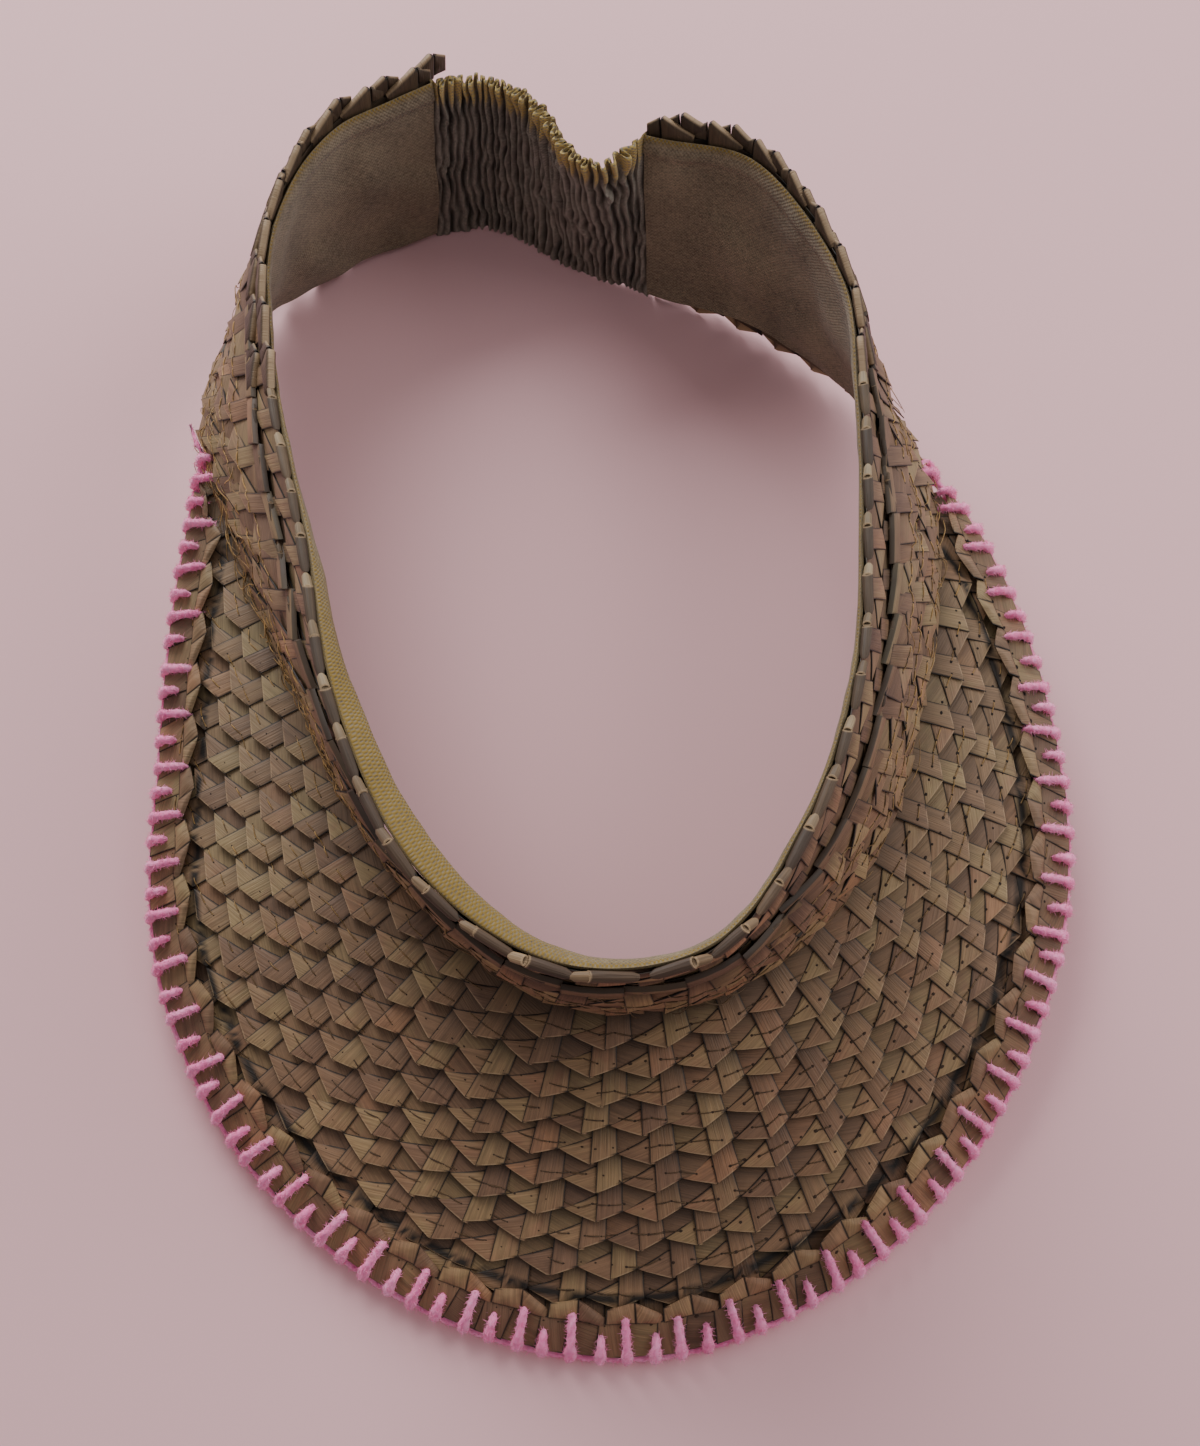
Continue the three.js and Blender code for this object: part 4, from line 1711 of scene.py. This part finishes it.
@dataclass
class ElasticBack:
    """A cotton sleeve gathered over elastic between the two ends of the band."""

    form: Form
    lining: Lining
    material: bpy.types.Material
    height: float = 51.0
    above: float = 0.8
    gather: float = 2.0
    steps: int = 12
    seam_blend: float = 0.08
    ruffle: float = 2.1
    pleat: float = 1.15

    def edge(self, below: float, bow: str, share: Points) -> Points:
        """One long edge of the sleeve.

        Args:
            below: How far it is below the band's top edge.
            bow: Column of the bow's table.
            share: Share of the way from left to right.

        Returns:
            Points in millimetres.
        """
        form = self.form
        seat = (self.lining.face - self.lining.cloth - form.gap) / 2
        ends = []
        for at, away in ((0.0, 0.2 * form.gap), (LAST, -0.2 * form.gap)):
            spot = np.array([at])
            point = form.on_band(spot, below, seat)[0]
            round_way = np.cross(form.look(form.out, spot)[0], form.look(form.down, spot)[0])
            ends.append(point + round_way * away)
        line = ends[1] - ends[0]
        back = np.array([-line[1], line[0], 0])
        bowed = SLEEVE_BOW.read(bow, share)
        return ends[0] + share[:, None] * line + bowed[:, None] * back

    def out(self, edge: Points, share: Points) -> Points:
        """Direction out of the wall along one edge, which meets the band's own at the two seams.

        Args:
            edge: The edge's points.
            share: Share of the way from left to right.

        Returns:
            One direction for each point.
        """
        run = np.gradient(edge, axis=0)
        out = unit(np.stack([-run[:, 1], run[:, 0], np.zeros(len(run))], axis=1))
        ends = [unit(self.form.look(self.form.out, np.array([at]))[0] * [1, 1, 0]) for at in (0.0, LAST)]
        end = np.where(share[:, None] < 0.5, ends[0], ends[1])
        blend = np.maximum(1 - np.minimum(share, 1 - share) / self.seam_blend, 0)[:, None]
        return unit(out * (1 - blend) + end * blend)

    def build(self) -> bpy.types.Object:
        """Gathers the sleeve.

        Returns:
            The finished piece.
        """
        fine = np.linspace(0, 1, 801)
        middle = (self.edge(-self.above, "top", fine) + self.edge(self.height - self.above, "foot", fine)) / 2
        run = run_along(middle)
        length = float(run[-1])
        gathers = round(length / self.gather)
        spots = np.linspace(0, length, gathers * self.steps + 1)
        share = np.interp(spots, run, fine)
        top, foot = self.edge(-self.above, "top", share), self.edge(self.height, "foot", share)
        top_out, foot_out = self.out(top, share), self.out(foot, share)
        along = unit(np.gradient(middle, axis=0))
        along = np.stack([np.interp(share, fine, along[:, i]) for i in range(3)], axis=1)
        levels = np.concatenate([np.linspace(0, 0.9, 34), np.linspace(0.915, 1.0, 9)])
        s, h = np.meshgrid(spots, levels * self.height, indexing="ij")
        seam = np.minimum(np.minimum(s, length - s) / 2.5, 1)
        drift = 2.2 * waves(s * 0.8, h * 0.55, 15.0, 11) + 1.3 * waves(s, h, 8.0, 12)
        crown = np.clip((h / self.height - 0.84) / 0.12, 0, 1)
        phase = 2 * math.pi * s / self.gather + drift * (1.15 - 0.7 * crown)
        pleats = self.pleat * (1 - crown) * (0.75 + 0.35 * waves(s, h, 13.0, 13))
        ruffles = self.ruffle * crown * (0.85 + 0.5 * waves(s, 0 * s, 5.5, 17))
        swing = (pleats + ruffles) * seam * np.clip(0.5 + h / 6.0, 0, 1)
        uneven = 0.5 * np.sin(0.5 * phase + 1.5 * waves(s, h, 11.0, 20)) * (1 - 0.7 * crown)
        wave = np.sin(phase)
        wave = np.where(wave > 0, wave * (1 - 0.7 * crown), wave)
        middle_out = swing * (wave + uneven)
        # Painted shade in the valleys of the pleats, lighter on the outer face.
        deep = np.clip(0.5 + 0.5 * (np.sin(phase) + uneven), 0, 1) ** 1.3 * (1 - 0.75 * crown)
        slide = crown * seam * (0.8 * waves(s, 0 * s, 6.0, 18) * np.sin(phase) - 0.29 * np.sin(2 * phase))
        near_foot = np.clip(1 - h / 4.0, 0, 1)
        half = (0.55 + 0.55 * (1 - crown) + 0.25 * near_foot) * np.where(levels < 1, 1, 0.55)[None, :]
        lift = 0.3 * crown * waves(s, 0 * s, 6.0, 14)
        share_up = (h / self.height)[..., None]
        base = foot[:, None] * (1 - share_up) + top[:, None] * share_up
        out = unit(foot_out[:, None] * (1 - share_up) + top_out[:, None] * share_up)
        shift = slide[..., None] * along[:, None] + lift[..., None] * UP
        crease = 0.3 * waves(s * 2.2, h * 0.35, 3.2, 16) + 0.35 * waves(s, h * 0.5, 7.0, 19)
        crease = crease * seam * (1 - crown)
        inner = base + out * (middle_out - half + crease)[..., None] + shift
        outer = base + out * (middle_out + half)[..., None] + shift
        rings = np.concatenate([inner, outer[:, ::-1]], axis=1)
        rings[..., 2] = np.maximum(rings[..., 2], self.form.floor_clearance)
        ruffled = np.stack([s * 1.9, h], axis=-1)
        mesh = wall_mesh("elastic_sleeve", rings, np.concatenate([ruffled, ruffled[:, ::-1]], axis=1))
        # The ruffled top takes the gold tint: partly wear, partly a painted highlight where it faces the
        # light.
        tint = np.clip((h / self.height - 0.89 - 0.03 * np.sin(phase)) / 0.05, 0, 1)
        set_numbers(mesh, "wear", np.concatenate([tint, tint[:, ::-1]], axis=1).ravel())
        set_numbers(mesh, "deep", np.concatenate([deep, (0.8 - 0.8 * deep)[:, ::-1]], axis=1).ravel())
        mesh.materials.append(self.material)
        piece = dress(new_object("elastic_sleeve", mesh), Slot.ELASTIC, "elastic_back")
        return piece


# Points, faces, flat places, look of the edge at each point, and tone of one folded strip
FoldedStrip = tuple[Points, list[list[int]], Points, Points, float]


def leaning(degrees: float) -> Points:
    """Matrix that tips points along an edge upwards by an angle."""
    lean = math.radians(degrees)
    return np.array([[math.cos(lean), 0, -math.sin(lean)], [0, 1, 0], [math.sin(lean), 0, math.cos(lean)]])


@dataclass
class EdgeFolds:
    """Strips folded over along a braid's free edge: flattened tubes with an open end, darkened inside with
    painted shade.
    """

    form: Form
    path: RowPath
    name: str
    material: bpy.types.Material
    repeat: float = 12.3
    seed: int = 1
    small: float = 1.0
    raised: float = 0.0
    pale: float = 1.0
    shifted: float = 0.0
    tent_from: float = 0.42
    sides: int = 10

    def frames(self, spots: Points, across: float, height: float) -> tuple[Points, Points]:
        """Places and directions along the edge.

        Args:
            spots: Lengths along the row.
            across: Share of the row's width.
            height: Height over its underside.

        Returns:
            The points, and for each the directions to the back, out and up as columns.
        """
        path = self.path
        here = path.place(spots, across, height)
        ahead = path.place(spots + 0.5, across, height) - path.place(spots - 0.5, across, height)
        up = unit(path.place(spots, across - 0.05, height) - path.place(spots, across + 0.05, height))
        along = unit(ahead)
        out = unit(np.cross(up, along))
        up = np.cross(along, out)
        at = np.interp(spots, path.lengths, path.at)
        back = np.where(at < LAST / 2, -1.0, 1.0)[:, None]
        return here, np.stack([along * back, out, up], axis=-1)

    def build(self) -> bpy.types.Object:
        """Folds the strips along the whole edge.

        Returns:
            The finished piece.
        """
        chance = np.random.default_rng(self.seed)
        count = int(self.path.length / self.repeat)
        spots = (np.arange(count) + 0.5 + self.shifted) * self.path.length / count
        spots = spots + chance.uniform(-0.6, 0.6, count)
        here, axes = self.frames(spots, 0.0, 0.5)
        at = np.interp(spots, self.path.lengths, self.path.at)
        stand = self.form.look(self.form.crest, at) / self.form.crest_height
        stand = np.clip(stand * 1.3, 0, 1) * (at > 0)
        points, faces, numbers, uvs = [], [], [], []
        total = 0
        for k in range(count):
            tent = stand[k] > self.tent_from
            size = (0.95 if tent else self.small) * chance.uniform(0.93, 1.07)
            shapes = self.tent() if tent else self.rolls(chance)
            for body, quads, flat, edge, tone in shapes:
                local = body * size + [0, 0, self.raised * stand[k]]
                if tent:
                    local = local * [1, 1, 0.65 + 0.35 * stand[k]]
                points.append(here[k] + (local @ leaning(chance.uniform(-3, 3)).T) @ axes[k].T)
                faces.extend([[i + total for i in quad] for quad in quads])
                shade = np.full(len(body), np.clip(tone * self.pale + chance.uniform(-0.15, 0.15), 0, 1))
                numbers.append(np.stack([shade, edge], axis=1))
                uvs.append(flat + 40 * k)
                total += len(body)
        mesh = mesh_from(self.name, np.concatenate(points) * MM, faces, np.concatenate(uvs))
        values = np.concatenate(numbers)
        set_numbers(mesh, "tone", values[:, 0])
        set_numbers(mesh, "edge", values[:, 1])
        set_numbers(mesh, "shade", np.full(total, 1.0))
        finish_shape(mesh, 50)
        mesh.materials.append(self.material)
        return dress(new_object(self.name, mesh), Slot.BAND)

    def tent(self) -> list[FoldedStrip]:
        """A standing point of folded strip: a long face that rises to the back and a short one behind it.

        Returns:
            The two faces.
        """
        long_corners = ((-5.7, -2.8), (3.0, -2.8), (3.3, 4.3), (2.5, 5.0), (-5.7, 0.6))
        long_face = self.slab(long_corners, (0.4, 0.0, 0.1, 1.0, 0.3), half=1.0, out=0.0)
        short_corners = ((2.9, -2.8), (7.0, -2.8), (7.0, 2.2), (3.5, 4.6))
        short_face = self.slab(short_corners, (0.4, 0.2, 0.95, 0.0), half=0.6, out=-0.25)
        return [(*long_face, 0.25), (*short_face, 0.1)]

    def rolls(self, chance: np.random.Generator) -> list[FoldedStrip]:
        """A long rolled fold open to the back, and a short pale one that laps its open end.

        Args:
            chance: Source of unevenness.

        Returns:
            The two folds.
        """
        parts = []
        for length, wide, tall, slide, rise, tilt, way, tone in (
            (chance.uniform(7.6, 9.4), 1.15, 0.8, -0.6, 0.15, 5.0, 1, chance.uniform(0.0, 0.3)),
            (chance.uniform(2.6, 4.2), 1.0, 0.5, 5.0, 0.55, -6.0, -1, chance.uniform(0.45, 0.95)),
        ):
            body, quads, flat = self.fold(length, wide, tall)
            spin = leaning(tilt + chance.uniform(-3, 3))
            ring = np.arange(len(body)) // self.sides
            # The lip of the open end takes the pale edge, a paler fold with a painted highlight, and the
            # inside of the tube the crack colour, a painted shade.
            edge = np.where((ring == 4) | (ring == 5), 0.95, np.where(ring > 5, 0.0, 0.5))
            edge[-2] = 0.5
            parts.append(((body * [way, 1, 1]) @ spin.T + [slide, 0, rise], quads, flat, edge, tone))
        return parts

    @staticmethod
    def slab(
        corners: Sequence[tuple[float, float]], edges: Sequence[float], half: float, out: float
    ) -> tuple[Points, list[list[int]], Points, Points]:
        """A flat folded strip that stands in the wall, with rounded edges.

        Args:
            corners: Corners along the edge and up, in millimetres.
            edges: Look of the side that starts at each corner.
            half: Half of its thickness.
            out: How far it stands out.

        Returns:
            Points, faces, flat places and the look of the edge at each point.
        """
        parts = 3
        outline, look = [], []
        shape = np.array(corners)
        for i in range(len(shape)):
            for k in range(parts):
                outline.append(shape[i] + (shape[(i + 1) % len(shape)] - shape[i]) * k / parts)
                both = (edges[i - 1], edges[i])
                look.append(max(both) if k == 0 and min(both) > 0 else edges[i])
        rim = np.array(outline)
        middle = rim.mean(0)
        size = np.linalg.norm(rim - middle, axis=1, keepdims=True)
        inner = middle + (rim - middle) * np.maximum(1 - 0.6 / size, 0.3)
        count = len(rim)
        rings = [(rim, half - 0.45), (inner, half), (inner, -half), (rim, 0.45 - half)]
        points = [np.stack([r[:, 0], np.full(count, y + out), r[:, 1]], axis=1) for r, y in rings]
        points.append(np.array([[middle[0], half + out, middle[1]], [middle[0], out - half, middle[1]]]))
        faces = cap_faces(count, 4 * count, count) + cap_faces(2 * count, 4 * count + 1, count, back=True)
        for low, high in ((0, 1), (2, 3), (3, 0)):
            faces += band_faces(low * count, high * count, count)
        body = np.concatenate(points)
        flat = np.stack([body[:, 2], body[:, 0]], axis=1)
        edge = np.concatenate([look, np.full(2 * count, 0.5), look, [0.5, 0.5]])
        return body, faces, flat, edge

    @staticmethod
    def fold(length: float, wide: float, tall: float) -> tuple[Points, list[list[int]], Points]:
        """One flattened tube with a thin wall, open at its far end.

        Args:
            length: Length of the tube.
            wide: Half of its width at the open end.
            tall: Half of its height there.

        Returns:
            Points, faces and flat places.
        """
        sides, wall = EdgeFolds.sides, 0.26
        turn = np.linspace(0, 2 * math.pi, sides, endpoint=False)
        rings = []
        for x, grow_by, thin in (
            (-0.5, 0.6, 0.0),
            (-0.38, 0.92, 0.0),
            (0.1, 1.0, 0.0),
            (0.45, 1.0, 0.0),
            (0.5, 1.0, 0.0),
            (0.5, 1.0, wall),
            (0.2, 1.0, wall),
            (-0.15, 0.92, wall),
        ):
            y = (wide * grow_by - thin) * np.cos(turn)
            z = (tall * grow_by - thin) * np.sin(turn)
            slope = np.where(np.abs(x) > 0.4, 0.6 * z / tall, 0)
            rings.append(np.stack([x * length - slope, y, z], axis=1))
        points = np.concatenate([*rings, [[-0.52 * length, 0, 0], [-0.2 * length, 0, 0]]])
        last = len(rings) - 1
        faces = [face for r in range(last) for face in band_faces(r * sides, (r + 1) * sides, sides)]
        faces += cap_faces(0, len(points) - 2, sides, back=True)
        faces += cap_faces(last * sides, len(points) - 1, sides)
        around = np.concatenate([np.tile(turn, len(rings)), [0, 0]])
        return points, faces, np.stack([points[:, 0], around * (wide + tall) / 2], axis=1)


@dataclass
class Stitching:
    """Sewing along the braid rows: needle holes with short stitches of thread between them."""

    rows: Sequence[tuple[RowPath, bpy.types.Object, float]]
    thread: Thread
    hole_tree: bpy.types.GeometryNodeTree
    hole: bpy.types.Material
    name: str
    slot: Slot
    spacing: float = 3.3
    share: float = 0.52
    from_edge: float = 2.3
    radius: float = 0.12
    wander: float = 0.65
    arch: tuple[float, ...] = (-0.1, 0.12, 0.17, 0.17, 0.12, -0.1)
    seed: int = 9

    def build(self) -> None:
        """Sews every row."""
        chance = np.random.default_rng(self.seed)
        paths, radii, holes, turns, sizes = [], [], [], [], []
        for path, piece, width in self.rows:
            surface = BVHTree.FromPolygons(
                [v.co.copy() for v in piece.data.vertices], [list(p.vertices) for p in piece.data.polygons]
            )
            count = int(path.length / self.spacing)
            spots = np.arange(count) * self.spacing + chance.uniform(0.5, 2.5)
            spots = spots + chance.uniform(-0.35, 0.35, count)
            across = 1 - (self.from_edge + chance.uniform(-self.wander, self.wander, count)) / width
            share = np.linspace(0, 1, len(self.arch))
            for k in range(count - 1):
                x = spots[k] * (1 - share) + spots[k + 1] * share
                y = across[k] * (1 - share) + across[k + 1] * share
                if x[-1] > path.length - 1:
                    continue
                low, high = path.place(x, y, 0.0), path.place(x, y, 4.0)
                hits = [self.drop(surface, *ends) for ends in zip(low, high)]
                if any(hit is None for hit in hits):
                    continue
                line = np.array([hit[0] for hit in hits])
                up = unit(high - low)
                holes.append(line[0] + up[0] * 0.02)
                along = unit(line[1] - line[0])
                beside = unit(np.cross(hits[0][1], along))
                axes = Matrix(np.column_stack([along, beside, np.cross(along, beside)]).tolist())
                turns.append(tuple(axes.to_euler()))
                size = chance.uniform(0.75, 1.25) * float(np.clip(0.8 + line[0][0] / 80, 0.5, 1.0))
                sizes.append((size * chance.uniform(1.0, 1.7), size, size))
                if chance.uniform() < self.share:
                    paths.append(line + up * np.array(self.arch)[:, None])
                    radii.append(np.full(len(self.arch), self.radius * chance.uniform(0.8, 1.25)))
        dress(self.thread.spin(f"{self.name}_stitches", paths, radii), self.slot)
        # Each hole is filled with a dark lens: painted shade for its hollow.
        mesh = bpy.data.meshes.new(f"{self.name}_needle_holes")
        mesh.from_pydata([tuple(p) for p in np.array(holes) * MM], [], [])
        for label, values in (("turn", turns), ("size", sizes)):
            layer = mesh.attributes.new(label, "FLOAT_VECTOR", "POINT")
            layer.data.foreach_set("vector", np.array(values, np.float32).ravel())
        piece = new_object(mesh.name, mesh)
        grow(piece, self.hole_tree, {"Finish": self.hole})
        dress(piece, self.slot)

    @staticmethod
    def drop(surface: BVHTree, low: Points, high: Points) -> tuple[Points, Points] | None:
        """Where a line from above first meets the straw, in millimetres, and which way it faces.

        Args:
            surface: The straw's faces.
            low: Lower end of the line.
            high: Upper end of the line.

        Returns:
            The place and the direction, or None where the line meets nothing.
        """
        start, end = Vector(high * MM), Vector(low * MM)
        spot, normal, _, _ = surface.ray_cast(start, (end - start).normalized(), (end - start).length * 1.5)
        return None if spot is None else (np.array(spot) / MM, np.array(normal))


@dataclass
class LooseFibres:
    """Frayed ends of sewing thread and leaf fibre that lie loose on the straw."""

    thread: Thread
    name: str
    slot: Slot
    groups: Sequence[tuple[RowPath, float, float, float, float, int]]
    seed: int = 21
    shortest: float = 4.0
    longest: float = 13.0
    radius: float = 0.11
    lift: float = 1.25
    taper: tuple[float, ...] = (1, 1, 1, 1, 0.95, 0.9, 0.7, 0.4)

    def build(self) -> bpy.types.Object:
        """Lays each group of fibres: its row, the shares across, the places along and how many there are.

        Returns:
            The finished piece.
        """
        chance = np.random.default_rng(self.seed)
        paths, radii = [], []
        for path, low, high, first, last, count in self.groups:
            ends = np.interp([first, last], path.at, path.lengths)
            width = float(np.mean(path.far - path.near))
            for _ in range(count):
                x, y = chance.uniform(*ends), chance.uniform(low, high)
                heading = chance.choice([0.0, math.pi]) + chance.normal(0, 0.5)
                step = chance.uniform(self.shortest, self.longest) / (len(self.taper) - 1)
                spots = []
                for _ in self.taper:
                    spots.append((x, y))
                    heading += chance.normal(0, 0.35)
                    x, y = x + step * math.cos(heading), y + step * math.sin(heading) / width
                spots = np.array(spots)
                bend = np.sin(np.linspace(0, math.pi * 0.9, len(self.taper)))
                rise = self.lift + chance.uniform(0.2, 1.5) * bend
                line = path.place(np.clip(spots[:, 0], 0.5, path.length - 0.5), spots[:, 1], rise)
                paths.append(line)
                radii.append(self.radius * chance.uniform(0.7, 1.3) * np.array(self.taper))
        return dress(self.thread.spin(self.name, paths, radii), self.slot)


def needle_hole(radius: float = 0.31, sides: int = 7) -> bpy.types.Object:
    """A shallow dark lens that fills a needle hole with painted shade, in metres.

    Args:
        radius: Its radius in millimetres.
        sides: How many sides it has.

    Returns:
        The lens.
    """
    turn = np.linspace(0, 2 * math.pi, sides, endpoint=False)
    ring = np.stack([radius * np.cos(turn), radius * np.sin(turn), np.zeros(sides)], axis=1)
    points = np.concatenate([ring, [[0, 0, 0.05], [0, 0, -0.1]]]) * MM
    faces = cap_faces(0, sides, sides) + cap_faces(0, sides + 1, sides, back=True)
    return new_object("needle_hole_shape", mesh_from("needle_hole_shape", points, faces))


def yarn_hair(length: float = 1.2, radius: float = 0.06) -> bpy.types.Object:
    """One fine hair that stands on the origin, in metres.

    Args:
        length: Its length in millimetres.
        radius: Radius of its foot in millimetres.

    Returns:
        The hair.
    """
    points = np.array([[radius, 0, 0], [-radius, radius, 0], [-radius, -radius, 0], [0.12, 0, length]]) * MM
    faces = [[0, 1, 3], [1, 2, 3], [2, 0, 3], [2, 1, 0]]
    return new_object("yarn_hair_shape", mesh_from("yarn_hair_shape", points, faces))


@dataclass
class Camera:
    """The photograph's viewpoint."""

    azimuth: float = -6.5
    elevation: float = 70.0
    roll: float = 2.2
    distance: float = 370.0
    look_at: tuple[float, float] = (4.0, -39.4)
    focal_pixels: float = 1500.0
    long_side_pixels: float = 1446.0
    sensor: float = 36.0

    def build(self, form: Form) -> None:
        """Places the camera.

        Args:
            form: The visor's shape.
        """
        az, el, roll = (math.radians(v) for v in (self.azimuth, self.elevation, self.roll))
        target = np.array([*self.look_at, 0.0]) + form.shift
        away = np.array([math.sin(az) * math.cos(el), -math.cos(az) * math.cos(el), math.sin(el)])
        place = target + away * self.distance
        right = unit(np.cross(-away, UP))
        above = np.cross(right, -away)
        side = math.cos(roll) * right + math.sin(roll) * above
        head = -math.sin(roll) * right + math.cos(roll) * above
        data = bpy.data.cameras.new("camera")
        data.sensor_width = self.sensor
        data.lens = self.focal_pixels / self.long_side_pixels * self.sensor
        camera = new_object("camera", data)
        turn = Matrix(np.column_stack([side, head, away]).tolist()).to_4x4()
        camera.matrix_world = Matrix.Translation(Vector(place * MM)) @ turn
        bpy.context.scene.camera = camera


@dataclass
class Stage:
    """Pale floor and soft light."""

    floor_size: float = 6.0
    floor_colour: str = "e2b4b8"
    floor_roughness: float = 0.8
    world_colour: str = "e9e2e4"
    world_strength: float = 0.53
    key_strength: float = 21.0
    key_place: tuple[float, float, float] = (-0.35, 1.08, 0.72)
    key_size: float = 0.8
    fill_strength: float = 8.0
    fill_place: tuple[float, float, float] = (0.95, 0.25, 0.65)
    fill_size: float = 1.0

    def build(self) -> None:
        """Makes the floor, the world light and the lamps."""
        half = self.floor_size / 2
        corners = np.array([[-half, -half, 0], [half, -half, 0], [half, half, 0], [-half, half, 0]])
        floor = new_object("floor", mesh_from("floor", corners, [(0, 1, 2, 3)]))
        material, _, shader = new_material("pale_floor")
        connect(shader, {"Base Color": linear(self.floor_colour), "Roughness": self.floor_roughness})
        floor.data.materials.append(material)
        world = bpy.data.worlds.new("studio")
        world.use_nodes = True
        light = {"Color": linear(self.world_colour), "Strength": self.world_strength}
        connect(world.node_tree.nodes["Background"], light)
        bpy.context.scene.world = world
        self.lamp("key", self.key_place, self.key_size, self.key_strength)
        self.lamp("fill", self.fill_place, self.fill_size, self.fill_strength)

    @staticmethod
    def lamp(name: str, place: tuple[float, float, float], size: float, power: float) -> None:
        """A square soft light that faces the visor.

        Args:
            name: The lamp's name.
            place: Where it stands, in metres.
            size: Length of its side in metres.
            power: Its power in watts.
        """
        data = bpy.data.lights.new(name, "AREA")
        data.shape = "SQUARE"
        data.size = size
        data.energy = power
        lamp = new_object(name, data)
        lamp.location = place
        lamp.rotation_euler = (Vector(place) * -1).to_track_quat("-Z", "Y").to_euler()


def build_rows(form: Form, finishes: Finishes) -> dict[str, tuple[RowPath, bpy.types.Object, float]]:
    """Plaits and lays every braid row of the band, the brim and the rim.

    Args:
        form: The visor's shape.
        finishes: Its finishes.

    Returns:
        Path, piece and width of each row by the name of its node.
    """
    flat, lapped = (row_tree(plait_strips(PlaitedRow.width, lap)) for lap in (False, True))
    rows: dict[str, tuple[RowPath, bpy.types.Object, float]] = {}
    plans = [(f"inner_band_row_{r}", Lay.INNER, r, r) for r in range(1, form.inner_rows + 1)]
    plans += [(f"flare_row_{r}", Lay.FLARE, r, 10 + r) for r in range(1, form.flare_rows + 1)]
    plans += [(f"brim_row_{r:02d}", Lay.BRIM, r, 20 + r) for r in range(1, form.brim_rows + 1)]
    for name, lay, row, seed in plans:
        path = RowPath(form, lay, row)
        slot = Slot.BRIM if lay is Lay.BRIM else Slot.BAND
        tree = flat if lay is Lay.INNER else lapped
        work = PlaitedRow(f"plait_{name}", path, tree, finishes.straw, slot, name, seed)
        if lay is Lay.FLARE:
            work.turn, work.lift = 0.13, 0.28
        rows[name] = (path, work.build(), work.width)
    path = RowPath(form, Lay.RIM)
    scallops = row_tree(rim_strips(path.rim_width))
    work = PlaitedRow("plait_rim_braid", path, scallops, finishes.straw, Slot.BRIM, "rim_braid", 40)
    work.width = path.rim_width
    rows["rim_braid"] = (path, work.build(), work.width)
    return rows


STRIPS = {strip.name for strip in (*plait_strips(1.0, True), *rim_strips(1.0))}
SHAPES = STRIPS | {"needle_hole_shape", "yarn_hair_shape"}


def main() -> None:
    """Builds the visor, its stage and the camera."""
    logging.basicConfig(level=logging.INFO, format="%(message)s")
    form = Form()
    Camera().build(form)
    Stage().build()
    finishes = Finishes.build()
    rows = build_rows(form, finishes)
    threads = thread_tree()
    golden = Thread(threads, finishes.thread, sides=4)
    holes = copies_tree("needle_holes", needle_hole())
    brim = [rows[name] for name in rows if name.startswith("brim")]
    band = [rows[name] for name in rows if name.startswith("flare")]
    rim = [rows["rim_braid"]]
    sewn = (golden, holes, finishes.hole)
    Stitching(brim, *sewn, "brim", Slot.BRIM).build()
    Stitching(band, *sewn, "band", Slot.BAND, share=0.85, radius=0.14, seed=8).build()
    Stitching(rim, *sewn, "rim", Slot.BRIM, share=0.1, from_edge=6.5).build()
    flares = {row: rows[f"flare_row_{row}"][0] for row in range(1, form.flare_rows + 1)}
    frayed = (
        (flares[4], 0.4, 1.12, 3.3, 6.2, 120),
        (flares[3], 0.2, 0.9, 2.6, 6.0, 50),
        (flares[2], 0.3, 0.9, 2.0, 5.0, 10),
        (flares[4], 0.3, 1.0, 6.5, 12.0, 34),
        (flares[2], 0.3, 0.9, 9.0, 13.0, 14),
    )
    LooseFibres(golden, "loose_threads", Slot.BAND, frayed).build()
    EdgeFolds(form, rows["inner_band_row_1"][0], "top_edge_folds", finishes.folded).build()
    EdgeFolds(
        form,
        rows["flare_row_1"][0],
        "free_edge_folds",
        finishes.folded,
        seed=2,
        small=0.6,
        raised=2.2,
        pale=0.3,
        shifted=-0.4,
    ).build()
    lining = Lining(form, finishes.lining)
    lining.build()
    ElasticBack(form, lining, finishes.elastic).build()
    wool = Thread(threads, finishes.yarn, sides=12, groove=0.16, twist=120.0)
    YarnEdging(form, wool, fuzz_tree(yarn_hair())).build()
    for shape in [o for o in bpy.data.objects if o.name.split(".")[0] in SHAPES]:
        bpy.data.objects.remove(shape)


if __name__ == "__main__":
    main()
